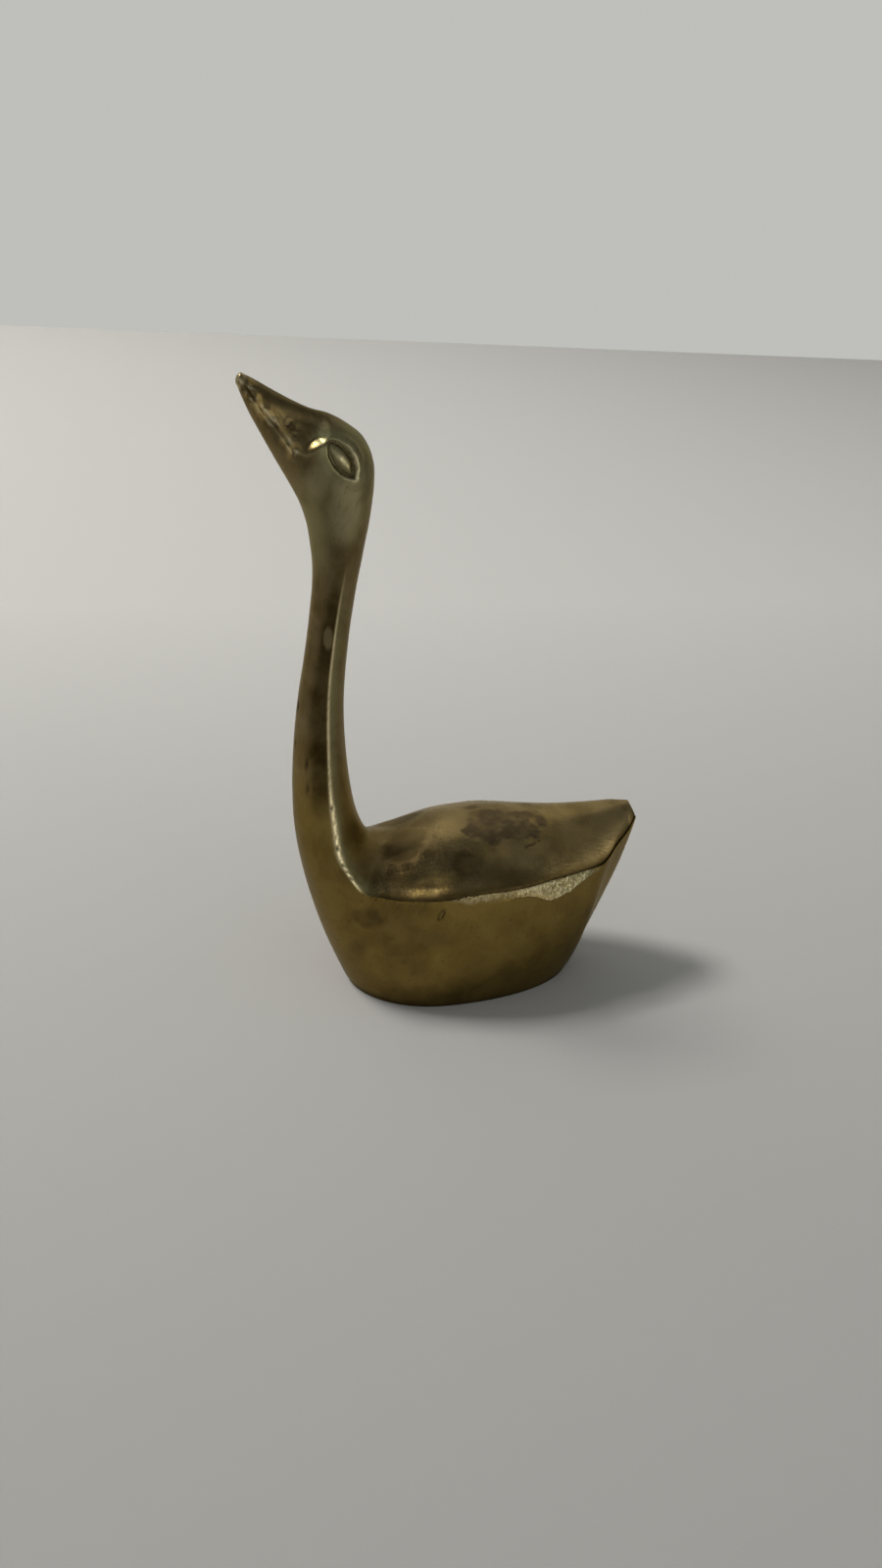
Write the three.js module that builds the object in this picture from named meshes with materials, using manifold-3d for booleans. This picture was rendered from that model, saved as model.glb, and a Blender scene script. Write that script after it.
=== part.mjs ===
import * as THREE from 'three';
import { mergeVertices } from 'three/addons/utils/BufferGeometryUtils.js';
import Module from 'manifold-3d';

// A cast brass swan figurine. Sizes are in millimetres. The swan faces -X, stands on Z = 0
// and is the same on both sides of Y = 0.

// Body
const FOOT_LENGTH = 49.6;
const FOOT_WIDTH = 28;
const FOOT_WIDEST = 18.6; // from the front of the foot back to its widest place
const RIM_HEIGHT = 29.2;
const BODY_WIDTH = 35.4;
const HUMP_RISE = 10.3; // crest of the back above the level rim
const NOTCH_RISE = 4.1; // low place between neck and back, above the level rim
const BREAST_REACH = 12.3; // breast ahead of the foot
const BREAST_HEIGHT = 48; // height of the foremost place on the breast
const BREAST_CURVE = 0.9; // power of the breast's outline, under 1 for a full breast
const FOOT_SHARE = 0.97; // the foot is at most this wide against the body above it
const TAIL_REACH = 11.4; // tail behind the foot
const TAIL_RISE = 10.7; // top of the tail above the level rim
const TAIL_THICKNESS = 2.4; // end of the tail above the rim that runs up to it
const TAIL_WIDTH = 5.6;

// Neck and head
const NECK_RISE = 63; // level rim to the front of the neck below the throat
const NECK_DEPTH = 8.8; // front to rear at the thinnest place
const NECK_WIDTH = 8.2;
const NECK_LEAN = 3.5; // the front of the upper neck lies this far behind the breast
const HEAD_LENGTH = 30; // nape to bill tip
const HEAD_WIDTH = 10;

// Joints between the castings
const CLEARANCE = 0.3;
const WALL = 3; // wall of the hollow hull
const FLOOR = 4; // sole of the hull
const BACK_WALL = 2.6; // thickness of the back casting
const LEDGE = 1.2; // filed top of the rim outside the back casting
const SEAT_DEPTH = 1.6; // how far the back casting is let into the rim
const TENON_DIAMETER = 6.4;
const TENON_LENGTH = 7;

// Eyes and mouth
const EYE_LENGTH = 8.2;
const EYE_WIDTH = 4.4;
const EYE_DEPTH = 1.1;
const EYE_RISE = 0.9; // ridge of the eye bead above its own base
const EYE_GROOVE = 0.75; // gap all round the bead
const EYE_POINT_GAP = 1.3; // gap at the bead's points against the gap at its sides
const EYE_TILT = 54; // degrees that the long axis dips towards the nape
// Rise, length and width of the bead's levels as shares, from its ridge down to its base
const BEAD_LEVELS = [[1, 0.55, 0.12], [0.75, 0.85, 0.6], [0.3, 1, 1], [0, 1, 1]];
const MOUTH_WIDTH = 0.7;
const MOUTH_DEPTH = 0.8;

// Places along the ribs, counted from the bill tip, and shares across them
const NECK_ROOT = 19;
const BACK_RIB = 21.1;
const SEAT_END = 0.35; // ribs from the end of the seat to the tail tip
const HOLLOW_RIBS = [23.8, 30.2];
const UNDER_RIBS = [23.3, 31.2];
const EYE_RIB = 6.5;
const EYE_SHARE = 0.83;
const MOUTH_RIBS = [0.8, 4.2];
const MOUTH_SHARE = 0.28;
const TENON_PLACE = 0.58; // along the joint face, from its rear to its front

// Fineness of the faceted skin
const ABOVE_STEPS = 5;
const BELOW_STEPS = 9;
const RINGS = { neck: 64, hull: 57, back: 41, seat: 31, hollow: 11, under: 13 };
const PEG_SIDES = 24;
const SOCKET_STEPS = 12;
const BEAD_STEPS = 10;
const SAME_POINT = 1e-3; // points closer than this are one
const SHORT_EDGE = 0.02; // edges under this close up after a cut

const footFront = -FOOT_LENGTH / 2;
const footRear = FOOT_LENGTH / 2;
const breastX = footFront - BREAST_REACH;
const throat = RIM_HEIGHT + NECK_RISE;

// Half width of the foot at x: an egg of two half ellipses that meet at the widest place.
function footHalf(x) {
  const widest = footFront + FOOT_WIDEST;
  const reach = x < widest ? FOOT_WIDEST : FOOT_LENGTH - FOOT_WIDEST;
  const share = Math.min(Math.abs(x - widest) / reach, 1);
  return (FOOT_WIDTH / 2) * Math.sqrt(1 - share * share);
}

// Front of the breast at height z, from the foot up to its foremost place.
function breastFront(z) {
  const share = Math.min(Math.max(z / BREAST_HEIGHT, 0), 1);
  return footFront - BREAST_REACH * Math.sin((share * Math.PI) / 2) ** BREAST_CURVE;
}

// The skin runs over ribs, as on a boat. Each rib has three guide points: the crest on the mid
// plane behind or above, the edge at the widest place, and the keel on the mid plane in front or
// below. Sharp is 0 for a round rib and 1 for one with a sharp edge. Bulge is the power of the
// curve from crest to edge on a sharp rib: 2 is a dome, 1 a straight slope.
function rib(crestX, crestZ, edgeX, half, edgeZ, keelX, keelZ, sharp, bulge = 2) {
  return {
    crest: new THREE.Vector3(crestX, 0, crestZ),
    edge: new THREE.Vector3(edgeX, half, edgeZ),
    keel: new THREE.Vector3(keelX, 0, keelZ),
    form: new THREE.Vector3(sharp, bulge, 0),
  };
}

// Head ribs in shares of the head's length, counted forward and up from the throat.
function headRib(crestOut, crestUp, keelOut, keelUp, width, edgeShare, sharp = 0) {
  const x = breastX + NECK_LEAN;
  const crest = [x - HEAD_LENGTH * crestOut, throat + HEAD_LENGTH * crestUp];
  const keel = [x - HEAD_LENGTH * keelOut, throat + HEAD_LENGTH * keelUp];
  const edge = [0, 1].map((i) => crest[i] + (keel[i] - crest[i]) * edgeShare);
  return rib(...crest, edge[0], (HEAD_WIDTH / 2) * width, edge[1], ...keel, sharp);
}

// Neck ribs: height of the front as a share of the neck's rise, how much of the lean is taken,
// depth and slope in shares of the neck's depth, width in shares of its width.
function neckRib(height, lean, depth, slope, width, edgeShare, sharp) {
  const keel = [breastX + NECK_LEAN * lean, RIM_HEIGHT + NECK_RISE * height];
  const crest = [keel[0] + NECK_DEPTH * depth, keel[1] + NECK_DEPTH * slope];
  const edge = [0, 1].map((i) => crest[i] + (keel[i] - crest[i]) * edgeShare);
  return rib(...crest, edge[0], (NECK_WIDTH / 2) * width, edge[1], ...keel, sharp);
}

// Body ribs: places along the foot as shares of half its length, rises as shares of the hump.
function bodyRib(crestAt, rise, edgeAt, width, lift, keelAt, bulge) {
  const half = FOOT_LENGTH / 2;
  return rib(half * crestAt, RIM_HEIGHT + HUMP_RISE * rise, half * edgeAt, (BODY_WIDTH / 2) * width,
    RIM_HEIGHT + HUMP_RISE * lift, half * keelAt, 0, 1, bulge);
}

// Shoulder ribs fan round the notch from the neck to the level rim.
function shoulderRib(crestBack, crestRise, edgeBack, edgeRise, width, keelUp, bulge) {
  const keelZ = RIM_HEIGHT * keelUp;
  return rib(breastX + NECK_DEPTH * crestBack, RIM_HEIGHT + NOTCH_RISE * crestRise,
    breastX + NECK_DEPTH * edgeBack, (BODY_WIDTH / 2) * width, RIM_HEIGHT + NOTCH_RISE * edgeRise,
    breastFront(keelZ), keelZ, 1, bulge);
}

// Tail ribs: places between the end of the foot and the tail, rises between rim and tail top.
function tailRib(crestAt, edgeAt, width, edgeLift, keelAt, keelLift) {
  const x = (share) => footRear + TAIL_REACH * share;
  const top = RIM_HEIGHT + TAIL_RISE;
  const edgeTop = top - TAIL_THICKNESS;
  return rib(x(crestAt), top, x(edgeAt), (TAIL_WIDTH / 2) * width,
    RIM_HEIGHT + (edgeTop - RIM_HEIGHT) * edgeLift, x(keelAt), edgeTop * keelLift, 1);
}

const ribs = [
  headRib(0.418, 1.096, 0.441, 1.036, 0.18, 0.5),
  headRib(0.342, 1.062, 0.413, 0.967, 0.34, 0.5),
  headRib(0.243, 1.01, 0.367, 0.873, 0.46, 0.5),
  headRib(0.137, 0.957, 0.303, 0.76, 0.58, 0.49, 0.15),
  headRib(0.03, 0.913, 0.233, 0.64, 0.72, 0.46, 0.35),
  headRib(-0.077, 0.887, 0.157, 0.51, 0.86, 0.43, 0.35),
  headRib(-0.177, 0.84, 0.087, 0.38, 0.96, 0.42, 0.2),
  headRib(-0.282, 0.762, 0.043, 0.257, 1, 0.42),
  headRib(-0.343, 0.645, 0.017, 0.127, 0.98, 0.42),
  headRib(-0.36, 0.503, 0, 0, 0.94, 0.42),
  neckRib(0.933, 1, 1.17, 1.48, 1.07, 0.42, 0.1),
  neckRib(0.87, 0.91, 1.07, 1.14, 1.02, 0.42, 0.25),
  neckRib(0.79, 0.77, 1, 0.91, 1, 0.42, 0.45),
  neckRib(0.695, 0.57, 0.98, 0.74, 1.01, 0.41, 0.7),
  neckRib(0.597, 0.34, 1.01, 0.53, 1.05, 0.4, 0.9),
  neckRib(0.494, 0.15, 1.07, 0.36, 1.17, 0.38, 1),
  neckRib(0.386, 0.04, 1.17, 0.28, 1.33, 0.38, 1),
  neckRib(0.272, 0.03, 1.28, 0.25, 1.62, 0.4, 1),
  shoulderRib(1.45, 3.12, 0.86, 3.03, 0.48, 1.33, 2),
  shoulderRib(1.63, 2.1, 0.95, 1.7, 0.59, 1.06, 1.8),
  shoulderRib(1.81, 1.55, 1.16, 0.76, 0.665, 0.775, 1.7),
  shoulderRib(2.0, 1.4, 1.48, -0.12, 0.725, 0.473, 1.7),
  shoulderRib(2.29, 1.5, 1.91, -0.28, 0.79, 0.192, 1.7),
  bodyRib(-0.565, 0.7, -0.665, 0.862, -0.135, -1, 1.75),
  bodyRib(-0.44, 0.8, -0.518, 0.925, -0.1, -0.952, 1.8),
  bodyRib(-0.28, 0.9, -0.338, 0.975, -0.05, -0.786, 1.9),
  bodyRib(-0.08, 0.97, -0.115, 0.997, 0.025, -0.524, 1.9),
  bodyRib(0.16, 1, 0.13, 0.975, 0.04, -0.16, 2),
  bodyRib(0.444, 0.975, 0.42, 0.904, 0.03, 0.242, 2),
  bodyRib(0.726, 0.955, 0.7, 0.791, 0.05, 0.605, 2),
  bodyRib(0.968, 0.975, 0.944, 0.655, 0.07, 0.867, 2),
  bodyRib(1.149, 1.01, 1.12, 0.531, 0.12, 0.976, 2),
  tailRib(0.56, 0.52, 2.55, 0.46, 0, 0),
  tailRib(0.7, 0.7, 2.0, 0.62, 0.32, 0.255),
  tailRib(0.8, 0.84, 1.52, 0.74, 0.664, 0.54),
  tailRib(0.85, 0.93, 1.22, 0.92, 0.905, 0.81),
  tailRib(0.875, 0.98, 1, 1, 1, 0.95),
];

const guide = (name) => new THREE.CatmullRomCurve3(ribs.map((r) => r[name]), false, 'catmullrom', 0.5);
const crestLine = guide('crest');
const edgeLine = guide('edge');
const keelLine = guide('keel');
const formLine = guide('form');
const at = (index) => index / (ribs.length - 1);

// Guide points at t, with the keel kept on or above the ground.
function guides(t) {
  const crest = crestLine.getPoint(t);
  const edge = edgeLine.getPoint(t);
  const keel = keelLine.getPoint(t);
  keel.z = Math.max(keel.z, 0);
  const foot = keel.z < 1e-6 ? Math.min(footHalf(keel.x), FOOT_SHARE * edge.y) : 0;
  const form = formLine.getPoint(t);
  const sharp = THREE.MathUtils.clamp(form.x, 0, 1);
  return { crest, edge, keel, foot, sharp, bulge: form.y };
}

// Rib curve above the edge, u from 0 at the crest to 1 at the edge: an elliptic arc on a round
// rib, a dome or slope that meets the edge at an angle on a sharp one.
function above({ crest, edge, sharp, bulge }, u) {
  const turn = (u * Math.PI) / 2;
  const out = THREE.MathUtils.lerp(Math.sin(turn), u, sharp);
  const along = THREE.MathUtils.lerp(1 - Math.cos(turn), u ** bulge, sharp);
  const p = new THREE.Vector3().lerpVectors(crest, edge, along);
  p.y = edge.y * out;
  return p;
}

// Rib curve below the edge, u from 0 at the edge to 1 at the foot or keel: the part of an ellipse
// that ends at the foot's half width.
function below({ edge, keel, foot }, u) {
  const reach = Math.sqrt(1 - (foot / edge.y) ** 2);
  const turn = Math.asin(reach) * u;
  const p = new THREE.Vector3().lerpVectors(edge, keel, Math.sin(turn) / reach);
  p.y = edge.y * Math.cos(turn);
  return p;
}

const steps = (count, make) => Array.from({ length: count + 1 }, (_, i) => make(i / count));

// Closes a half outline, given from the crest side round to the keel side, into a full ring.
function ring(half) {
  const points = half.map((p) => p.clone());
  points[0].y = 0;
  points.at(-1).y = 0;
  const mirrored = points.slice(1, -1).reverse();
  return [...points, ...mirrored.map((p) => new THREE.Vector3(p.x, -p.y, p.z))];
}

function flank(g) {
  return [...steps(BELOW_STEPS, (u) => below(g, u)), g.keel.clone()];
}

function fullRing(t) {
  const g = guides(t);
  return ring([...steps(ABOVE_STEPS, (u) => above(g, u)).slice(0, -1), ...flank(g)]);
}

// Neck ring: as a full ring, with three points across the mouth line, pressed in along the bill.
function neckRing(t) {
  const g = guides(t);
  const lip = MOUTH_WIDTH / 2 / g.edge.distanceTo(g.keel);
  const [front, corner] = MOUTH_RIBS.map(at);
  const inMouth = t > front && t < corner;
  const mouth = [-lip, 0, lip].map((d) => below(g, MOUTH_SHARE + d));
  if (inMouth) mouth[1].y -= Math.min(MOUTH_DEPTH, g.edge.y / 3);
  const lower = steps(BELOW_STEPS - 3, (u) => below(g, THREE.MathUtils.lerp(MOUTH_SHARE + lip, 1, u)));
  const upper = steps(ABOVE_STEPS, (u) => above(g, u));
  return ring([...upper, ...mouth, ...lower.slice(1), g.keel.clone()]);
}

// Step of a given depth from the edge towards the keel.
const sunk = (g, depth) => g.keel.clone().sub(g.edge).setY(0).normalize().multiplyScalar(depth);
const backHalf = (g, grow) => Math.max(g.edge.y - LEDGE + grow, LEDGE / 2);

// Back casting: its dome down to the ledge, then its side down to the seat.
function backRing(t) {
  const g = guides(t);
  const half = backHalf(g, 0);
  const dome = steps(ABOVE_STEPS, (u) => above(g, (u * half) / g.edge.y));
  const seat = g.edge.clone().add(sunk(g, SEAT_DEPTH - CLEARANCE)).setY(half);
  return ring([...dome, seat, seat.clone()]);
}

// Space taken from the hull for the back casting: all above the ledge, and the let-in seat.
function seatRing(t) {
  const g = guides(t);
  const half = backHalf(g, CLEARANCE);
  const lift = g.crest.clone().sub(g.edge).setY(0).multiplyScalar(2);
  const ledge = g.edge.clone().add(sunk(g, CLEARANCE));
  const wide = g.edge.y + LEDGE;
  const top = g.edge.clone().add(lift);
  const seat = g.edge.clone().add(sunk(g, SEAT_DEPTH)).setY(half);
  const roof = [top, top.clone().setY(wide)];
  return ring([...roof, ledge.clone().setY(wide), ledge.clone().setY(half), seat, seat]);
}

// Hollow of the hull: its flank moved in by the wall, down to the floor.
function hollowRing(t) {
  const g = guides(t);
  const wall = steps(BELOW_STEPS, (u) => below(g, u));
  wall.forEach((p) => p.set(p.x, p.y - WALL, Math.max(p.z, FLOOR)));
  return ring([wall[0], ...wall, wall.at(-1)]);
}

// Hollow under the back casting, as wide as the one in the hull.
function underRing(t) {
  const g = guides(t);
  const half = g.edge.y - WALL;
  const seat = g.edge.clone().add(sunk(g, SEAT_DEPTH));
  const top = g.crest.clone();
  top.z -= BACK_WALL;
  const ceiling = (u) => new THREE.Vector3().lerpVectors(top, seat, u * u).setY(half * u);
  const dome = steps(ABOVE_STEPS, ceiling);
  const low = seat.clone().add(sunk(g, SEAT_DEPTH)).setY(half);
  return ring([...dome, low, low]);
}

const wasm = await Module();
wasm.setup();

// Solid from a geometry, with shared vertices merged and collapsed triangles left out.
function solid(geometry) {
  const bare = new THREE.BufferGeometry().setAttribute('position', geometry.getAttribute('position'));
  if (geometry.index) bare.setIndex(geometry.index);
  const merged = mergeVertices(bare, SAME_POINT);
  const triVerts = [];
  for (let i = 0; i < merged.index.count; i += 3) {
    const [a, b, c] = [0, 1, 2].map((k) => merged.index.getX(i + k));
    if (a !== b && b !== c && c !== a) triVerts.push(a, b, c);
  }
  const vertProperties = merged.getAttribute('position').array;
  const mesh = { numProp: 3, vertProperties, triVerts: new Uint32Array(triVerts) };
  return new wasm.Manifold(new wasm.Mesh(mesh));
}

// Skin over rings with equal point counts, closed by a fan at each end.
function loft(rings) {
  const count = rings[0].length;
  const points = rings.flat();
  const index = [];
  for (let r = 0; r + 1 < rings.length; r++) {
    for (let i = 0; i < count; i++) {
      const a = r * count + i;
      const b = r * count + ((i + 1) % count);
      index.push(a, b + count, b, a, a + count, b + count);
    }
  }
  const capped = [[rings[0], 0], [rings.at(-1), (rings.length - 1) * count]];
  capped.forEach(([end, start]) => {
    const middle = points.length;
    points.push(end.reduce((sum, p) => sum.add(p), new THREE.Vector3()).divideScalar(count));
    for (let i = 0; i < count; i++) {
      const [a, b] = [start + i, start + ((i + 1) % count)];
      index.push(...(start ? [middle, b, a] : [middle, a, b]));
    }
  });
  return solid(new THREE.BufferGeometry().setFromPoints(points).setIndex(index));
}

const between = (from, to, count, make) => steps(count, (u) => make(at(from + (to - from) * u)));
const moved = (points, by) => points.map((p) => p.clone().add(by));

// Face of the neck joint: square across the root of the neck, with its own directions.
const root = guides(at(NECK_ROOT));
const jointAlong = root.keel.clone().sub(root.crest).normalize();
const jointDown = new THREE.Vector3(-jointAlong.z, 0, jointAlong.x);
const jointCentre = new THREE.Vector3().lerpVectors(root.crest, root.keel, TENON_PLACE);
const jointAcross = new THREE.Vector3(0, -1, 0);
const jointFrame = new THREE.Matrix4().makeBasis(jointAlong, jointAcross, jointDown.clone().negate());
function jointPlace(drop) {
  return jointFrame.clone().setPosition(jointCentre.clone().addScaledVector(jointDown, drop));
}

// Everything above the joint face, lowered by a drop.
function aboveJoint(drop) {
  const size = 4 * NECK_RISE; // larger than the whole swan
  const block = new THREE.BoxGeometry(size, size, size).translate(0, 0, size / 2);
  return solid(block.applyMatrix4(jointPlace(drop)));
}

// Peg across the joint face, reaching up into the neck and down into the hull.
function peg(radius, down) {
  const up = TENON_LENGTH / 2;
  const cylinder = new THREE.CylinderGeometry(radius, radius, up + down, PEG_SIDES);
  cylinder.rotateX(Math.PI / 2).translate(0, 0, (up - down) / 2);
  return solid(cylinder.applyMatrix4(jointPlace(0)));
}

// A place on the skin of the head, on one side, with its outward normal.
function skin(curve, t, u, side) {
  const place = (dt, du) => {
    const p = curve(guides(t + dt), u + du);
    return p.setY(p.y * side);
  };
  const d = 1e-3;
  const normal = place(d, 0).sub(place(-d, 0)).cross(place(0, d).sub(place(0, -d))).normalize();
  if (normal.y * side < 0) normal.negate();
  return { point: place(0, 0), normal };
}

// Frame of an eye: X along it, Z out of the head, origin on the skin.
function eyeFrame(side) {
  const { point, normal } = skin(above, at(EYE_RIB), EYE_SHARE, side);
  const tilt = THREE.MathUtils.degToRad(EYE_TILT);
  const along = new THREE.Vector3(Math.cos(tilt), 0, -Math.sin(tilt));
  along.addScaledVector(normal, -along.dot(normal)).normalize();
  return new THREE.Matrix4().makeBasis(along, normal.clone().cross(along), normal).setPosition(point);
}

// Almond outline of two arcs that meet in a point at each end.
function almond(length, width) {
  const radius = (length * length + width * width) / (4 * width);
  const sweep = Math.asin(length / 2 / radius);
  const low = radius - width / 2;
  const upper = Math.PI / 2;
  const outline = new THREE.Shape();
  outline.absarc(0, -low, radius, upper - sweep, upper + sweep, false);
  outline.absarc(0, low, radius, -upper - sweep, -upper + sweep, false);
  return outline;
}

// Punched recess of an eye.
function eyeSocket(side) {
  const cut = new THREE.ExtrudeGeometry(almond(EYE_LENGTH, EYE_WIDTH), {
    depth: EYE_DEPTH + EYE_WIDTH, bevelEnabled: false, curveSegments: SOCKET_STEPS,
  });
  return solid(cut.translate(0, 0, -EYE_DEPTH).applyMatrix4(eyeFrame(side)));
}

// Leaf-shaped bead with a ridge along it, standing in the recess.
function eyeBead(side) {
  const length = EYE_LENGTH - 2 * EYE_POINT_GAP * EYE_GROOVE;
  const outline = almond(length, EYE_WIDTH - 2 * EYE_GROOVE).getPoints(BEAD_STEPS);
  const points = outline.slice(0, -1);
  const base = CLEARANCE - EYE_DEPTH;
  const frame = eyeFrame(side);
  const level = ([rise, long, wide]) => points.map((p) => (
    new THREE.Vector3(p.x * long, p.y * wide, base + EYE_RISE * rise).applyMatrix4(frame)));
  return loft(BEAD_LEVELS.map(level));
}

const last = ribs.length - 1;
const sides = { left: -1, right: 1 };

let neck = loft(between(0, NECK_ROOT + 1, RINGS.neck, neckRing));
neck = neck.intersect(aboveJoint(0)).add(peg(TENON_DIAMETER / 2, TENON_LENGTH));
for (const side of Object.values(sides)) {
  neck = neck.subtract(eyeSocket(side));
}

const seats = between(BACK_RIB, last - SEAT_END, RINGS.seat, seatRing);
const runOut = edgeLine.getTangent(1).setY(0).multiplyScalar(TAIL_WIDTH);
seats.push(moved(seats.at(-1), runOut));
let hull = loft(between(NECK_ROOT - 1, last, RINGS.hull, fullRing)).subtract(aboveJoint(CLEARANCE));
hull = hull.subtract(loft(seats)).subtract(loft(between(...HOLLOW_RIBS, RINGS.hollow, hollowRing)));
hull = hull.subtract(peg(TENON_DIAMETER / 2 + CLEARANCE, TENON_LENGTH + CLEARANCE));

const backRings = between(BACK_RIB, last, RINGS.back, backRing);
const start = guides(at(BACK_RIB));
const startAlong = start.keel.clone().sub(start.crest).normalize();
const backward = new THREE.Vector3(-startAlong.z, 0, startAlong.x).multiplyScalar(CLEARANCE);
backRings[0] = moved(backRings[0], backward);
const back = loft(backRings).subtract(loft(between(...UNDER_RIBS, RINGS.under, underRing)));

// Geometry of a finished solid. Cuts leave some very short edges, which are closed up, and the
// doubled triangles that this makes are left out.
function skinOf(body) {
  const { vertProperties, triVerts } = body.getMesh();
  const points = Array.from({ length: vertProperties.length / 3 }, (_, i) => (
    new THREE.Vector3().fromArray(vertProperties, i * 3)));
  const triangles = Array.from({ length: triVerts.length / 3 }, (_, i) => (
    Array.from(triVerts.slice(i * 3, i * 3 + 3))));
  const kept = points.map((_, i) => i);
  const keeper = (i) => (kept[i] === i ? i : keeper(kept[i]));
  for (const corners of triangles) {
    corners.forEach((from, k) => {
      const to = corners[(k + 1) % 3];
      if (points[from].distanceTo(points[to]) < SHORT_EDGE) kept[keeper(to)] = keeper(from);
    });
  }
  const whole = triangles.map((corners) => corners.map(keeper)).filter((c) => new Set(c).size === 3);
  const label = (corners) => [...corners].sort((a, b) => a - b).join();
  const uses = new Map();
  whole.forEach((corners) => uses.set(label(corners), (uses.get(label(corners)) ?? 0) + 1));
  const single = whole.filter((corners) => uses.get(label(corners)) === 1);
  return new THREE.BufferGeometry().setFromPoints(points).setIndex(single.flat());
}

// Aged brass: browner on the cast back, paler where hands and files have kept the neck bright.
function piece(name, body, color, roughness) {
  const geometry = skinOf(body);
  geometry.computeVertexNormals();
  const brass = new THREE.MeshStandardMaterial({ color, roughness, metalness: 1 });
  const mesh = new THREE.Mesh(geometry, brass);
  mesh.name = name;
  return mesh;
}

const swan = new THREE.Group();
swan.name = 'swan';
swan.add(piece('hull', hull, 0x8a7440, 0.38), piece('back', back, 0x76603a, 0.42));
swan.add(piece('neck', neck, 0x8f7a46, 0.34));
for (const [name, side] of Object.entries(sides)) {
  swan.add(piece(`${name}_eye`, eyeBead(side), 0x7d7048, 0.4));
}

export default swan;
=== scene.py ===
import math
from functools import partial

import bmesh
import bpy
import numpy as np
from mathutils import Matrix, Vector


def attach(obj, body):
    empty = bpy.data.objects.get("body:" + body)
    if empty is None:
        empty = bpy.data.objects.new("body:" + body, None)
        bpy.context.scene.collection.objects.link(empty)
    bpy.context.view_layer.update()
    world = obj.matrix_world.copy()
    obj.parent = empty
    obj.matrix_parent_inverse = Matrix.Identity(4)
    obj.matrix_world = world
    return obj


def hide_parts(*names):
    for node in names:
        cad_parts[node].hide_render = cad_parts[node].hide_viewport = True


# Cast brass swan: it faces -X, stands on Z = 0 and turns its left side, -Y, to the camera.
# Forms are worked out in millimetres and go into the meshes in metres.
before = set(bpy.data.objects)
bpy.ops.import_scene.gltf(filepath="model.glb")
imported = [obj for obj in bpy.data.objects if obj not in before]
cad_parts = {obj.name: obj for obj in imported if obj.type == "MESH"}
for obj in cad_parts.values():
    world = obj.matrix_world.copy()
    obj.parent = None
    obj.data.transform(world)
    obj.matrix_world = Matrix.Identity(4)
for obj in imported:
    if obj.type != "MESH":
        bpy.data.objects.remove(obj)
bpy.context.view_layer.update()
mm = 0.001
left, right = -1, 1
midPlane = np.array([1, 0, 1])  # a point times this lies on the mid-plane
print("frame:", ", ".join(sorted(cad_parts)))

# Main sizes of the casting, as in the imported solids
swan = {
    "footLength": 49.6, "footWidth": 28.0, "footWidest": 18.6, "footShare": 0.97, "rimHeight": 29.2,
    "bodyWidth": 35.4, "humpRise": 10.3, "notchRise": 4.1,
    "breastReach": 12.3, "breastHeight": 48.0, "breastCurve": 0.9,
    "tailReach": 11.4, "tailRise": 10.7, "tailThickness": 2.4, "tailWidth": 5.6,
    "neckRise": 63.0, "neckDepth": 8.8, "neckWidth": 8.2, "neckLean": 3.5,
    "headLength": 30.0, "headWidth": 10.0,
}
footFront = -swan["footLength"] / 2
footRear = swan["footLength"] / 2
breastX = footFront - swan["breastReach"]
throatZ = swan["rimHeight"] + swan["neckRise"]
tailTop = swan["rimHeight"] + swan["tailRise"]


def footHalf(x):
    widest = footFront + swan["footWidest"]
    reach = np.where(x < widest, swan["footWidest"], swan["footLength"] - swan["footWidest"])
    share = np.minimum(np.abs(x - widest) / reach, 1)
    return swan["footWidth"] / 2 * np.sqrt(1 - share * share)


def breastFront(z):
    share = min(max(z / swan["breastHeight"], 0), 1)
    return footFront - swan["breastReach"] * math.sin(share * math.pi / 2) ** swan["breastCurve"]


# A rib: crest x z, edge x half z, keel x z, sharpness of its edge, power of the curve above the edge
def headRib(crestOut, crestUp, keelOut, keelUp, width, edgeShare, sharp=0):
    start, reach = np.array([breastX + swan["neckLean"], throatZ]), swan["headLength"]
    crest = start + reach * np.array([-crestOut, crestUp])
    keel = start + reach * np.array([-keelOut, keelUp])
    edge = crest + (keel - crest) * edgeShare
    return [*crest, edge[0], swan["headWidth"] / 2 * width, edge[1], *keel, sharp, 2]


def neckRib(height, lean, depth, slope, width, edgeShare, sharp):
    keel = np.array([breastX + swan["neckLean"] * lean, swan["rimHeight"] + swan["neckRise"] * height])
    crest = keel + swan["neckDepth"] * np.array([depth, slope])
    edge = crest + (keel - crest) * edgeShare
    return [*crest, edge[0], swan["neckWidth"] / 2 * width, edge[1], *keel, sharp, 2]


def shoulderRib(crestBack, crestRise, edgeBack, edgeRise, width, keelUp, bulge):
    keelZ, level, depth = swan["rimHeight"] * keelUp, swan["rimHeight"], swan["neckDepth"]
    return [breastX + depth * crestBack, level + swan["notchRise"] * crestRise,
            breastX + depth * edgeBack, swan["bodyWidth"] / 2 * width, level + swan["notchRise"] * edgeRise,
            breastFront(keelZ), keelZ, 1, bulge]


def bodyRib(crestAt, rise, edgeAt, width, lift, keelAt, bulge):
    level = swan["rimHeight"]
    return [footRear * crestAt, level + swan["humpRise"] * rise,
            footRear * edgeAt, swan["bodyWidth"] / 2 * width, level + swan["humpRise"] * lift,
            footRear * keelAt, 0, 1, bulge]


def tailRib(crestAt, edgeAt, width, edgeLift, keelAt, keelLift):
    level, edgeTop = swan["rimHeight"], tailTop - swan["tailThickness"]
    return [footRear + swan["tailReach"] * crestAt, tailTop,
            footRear + swan["tailReach"] * edgeAt, swan["tailWidth"] / 2 * width,
            level + (edgeTop - level) * edgeLift,
            footRear + swan["tailReach"] * keelAt, edgeTop * keelLift, 1, 2]


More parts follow.
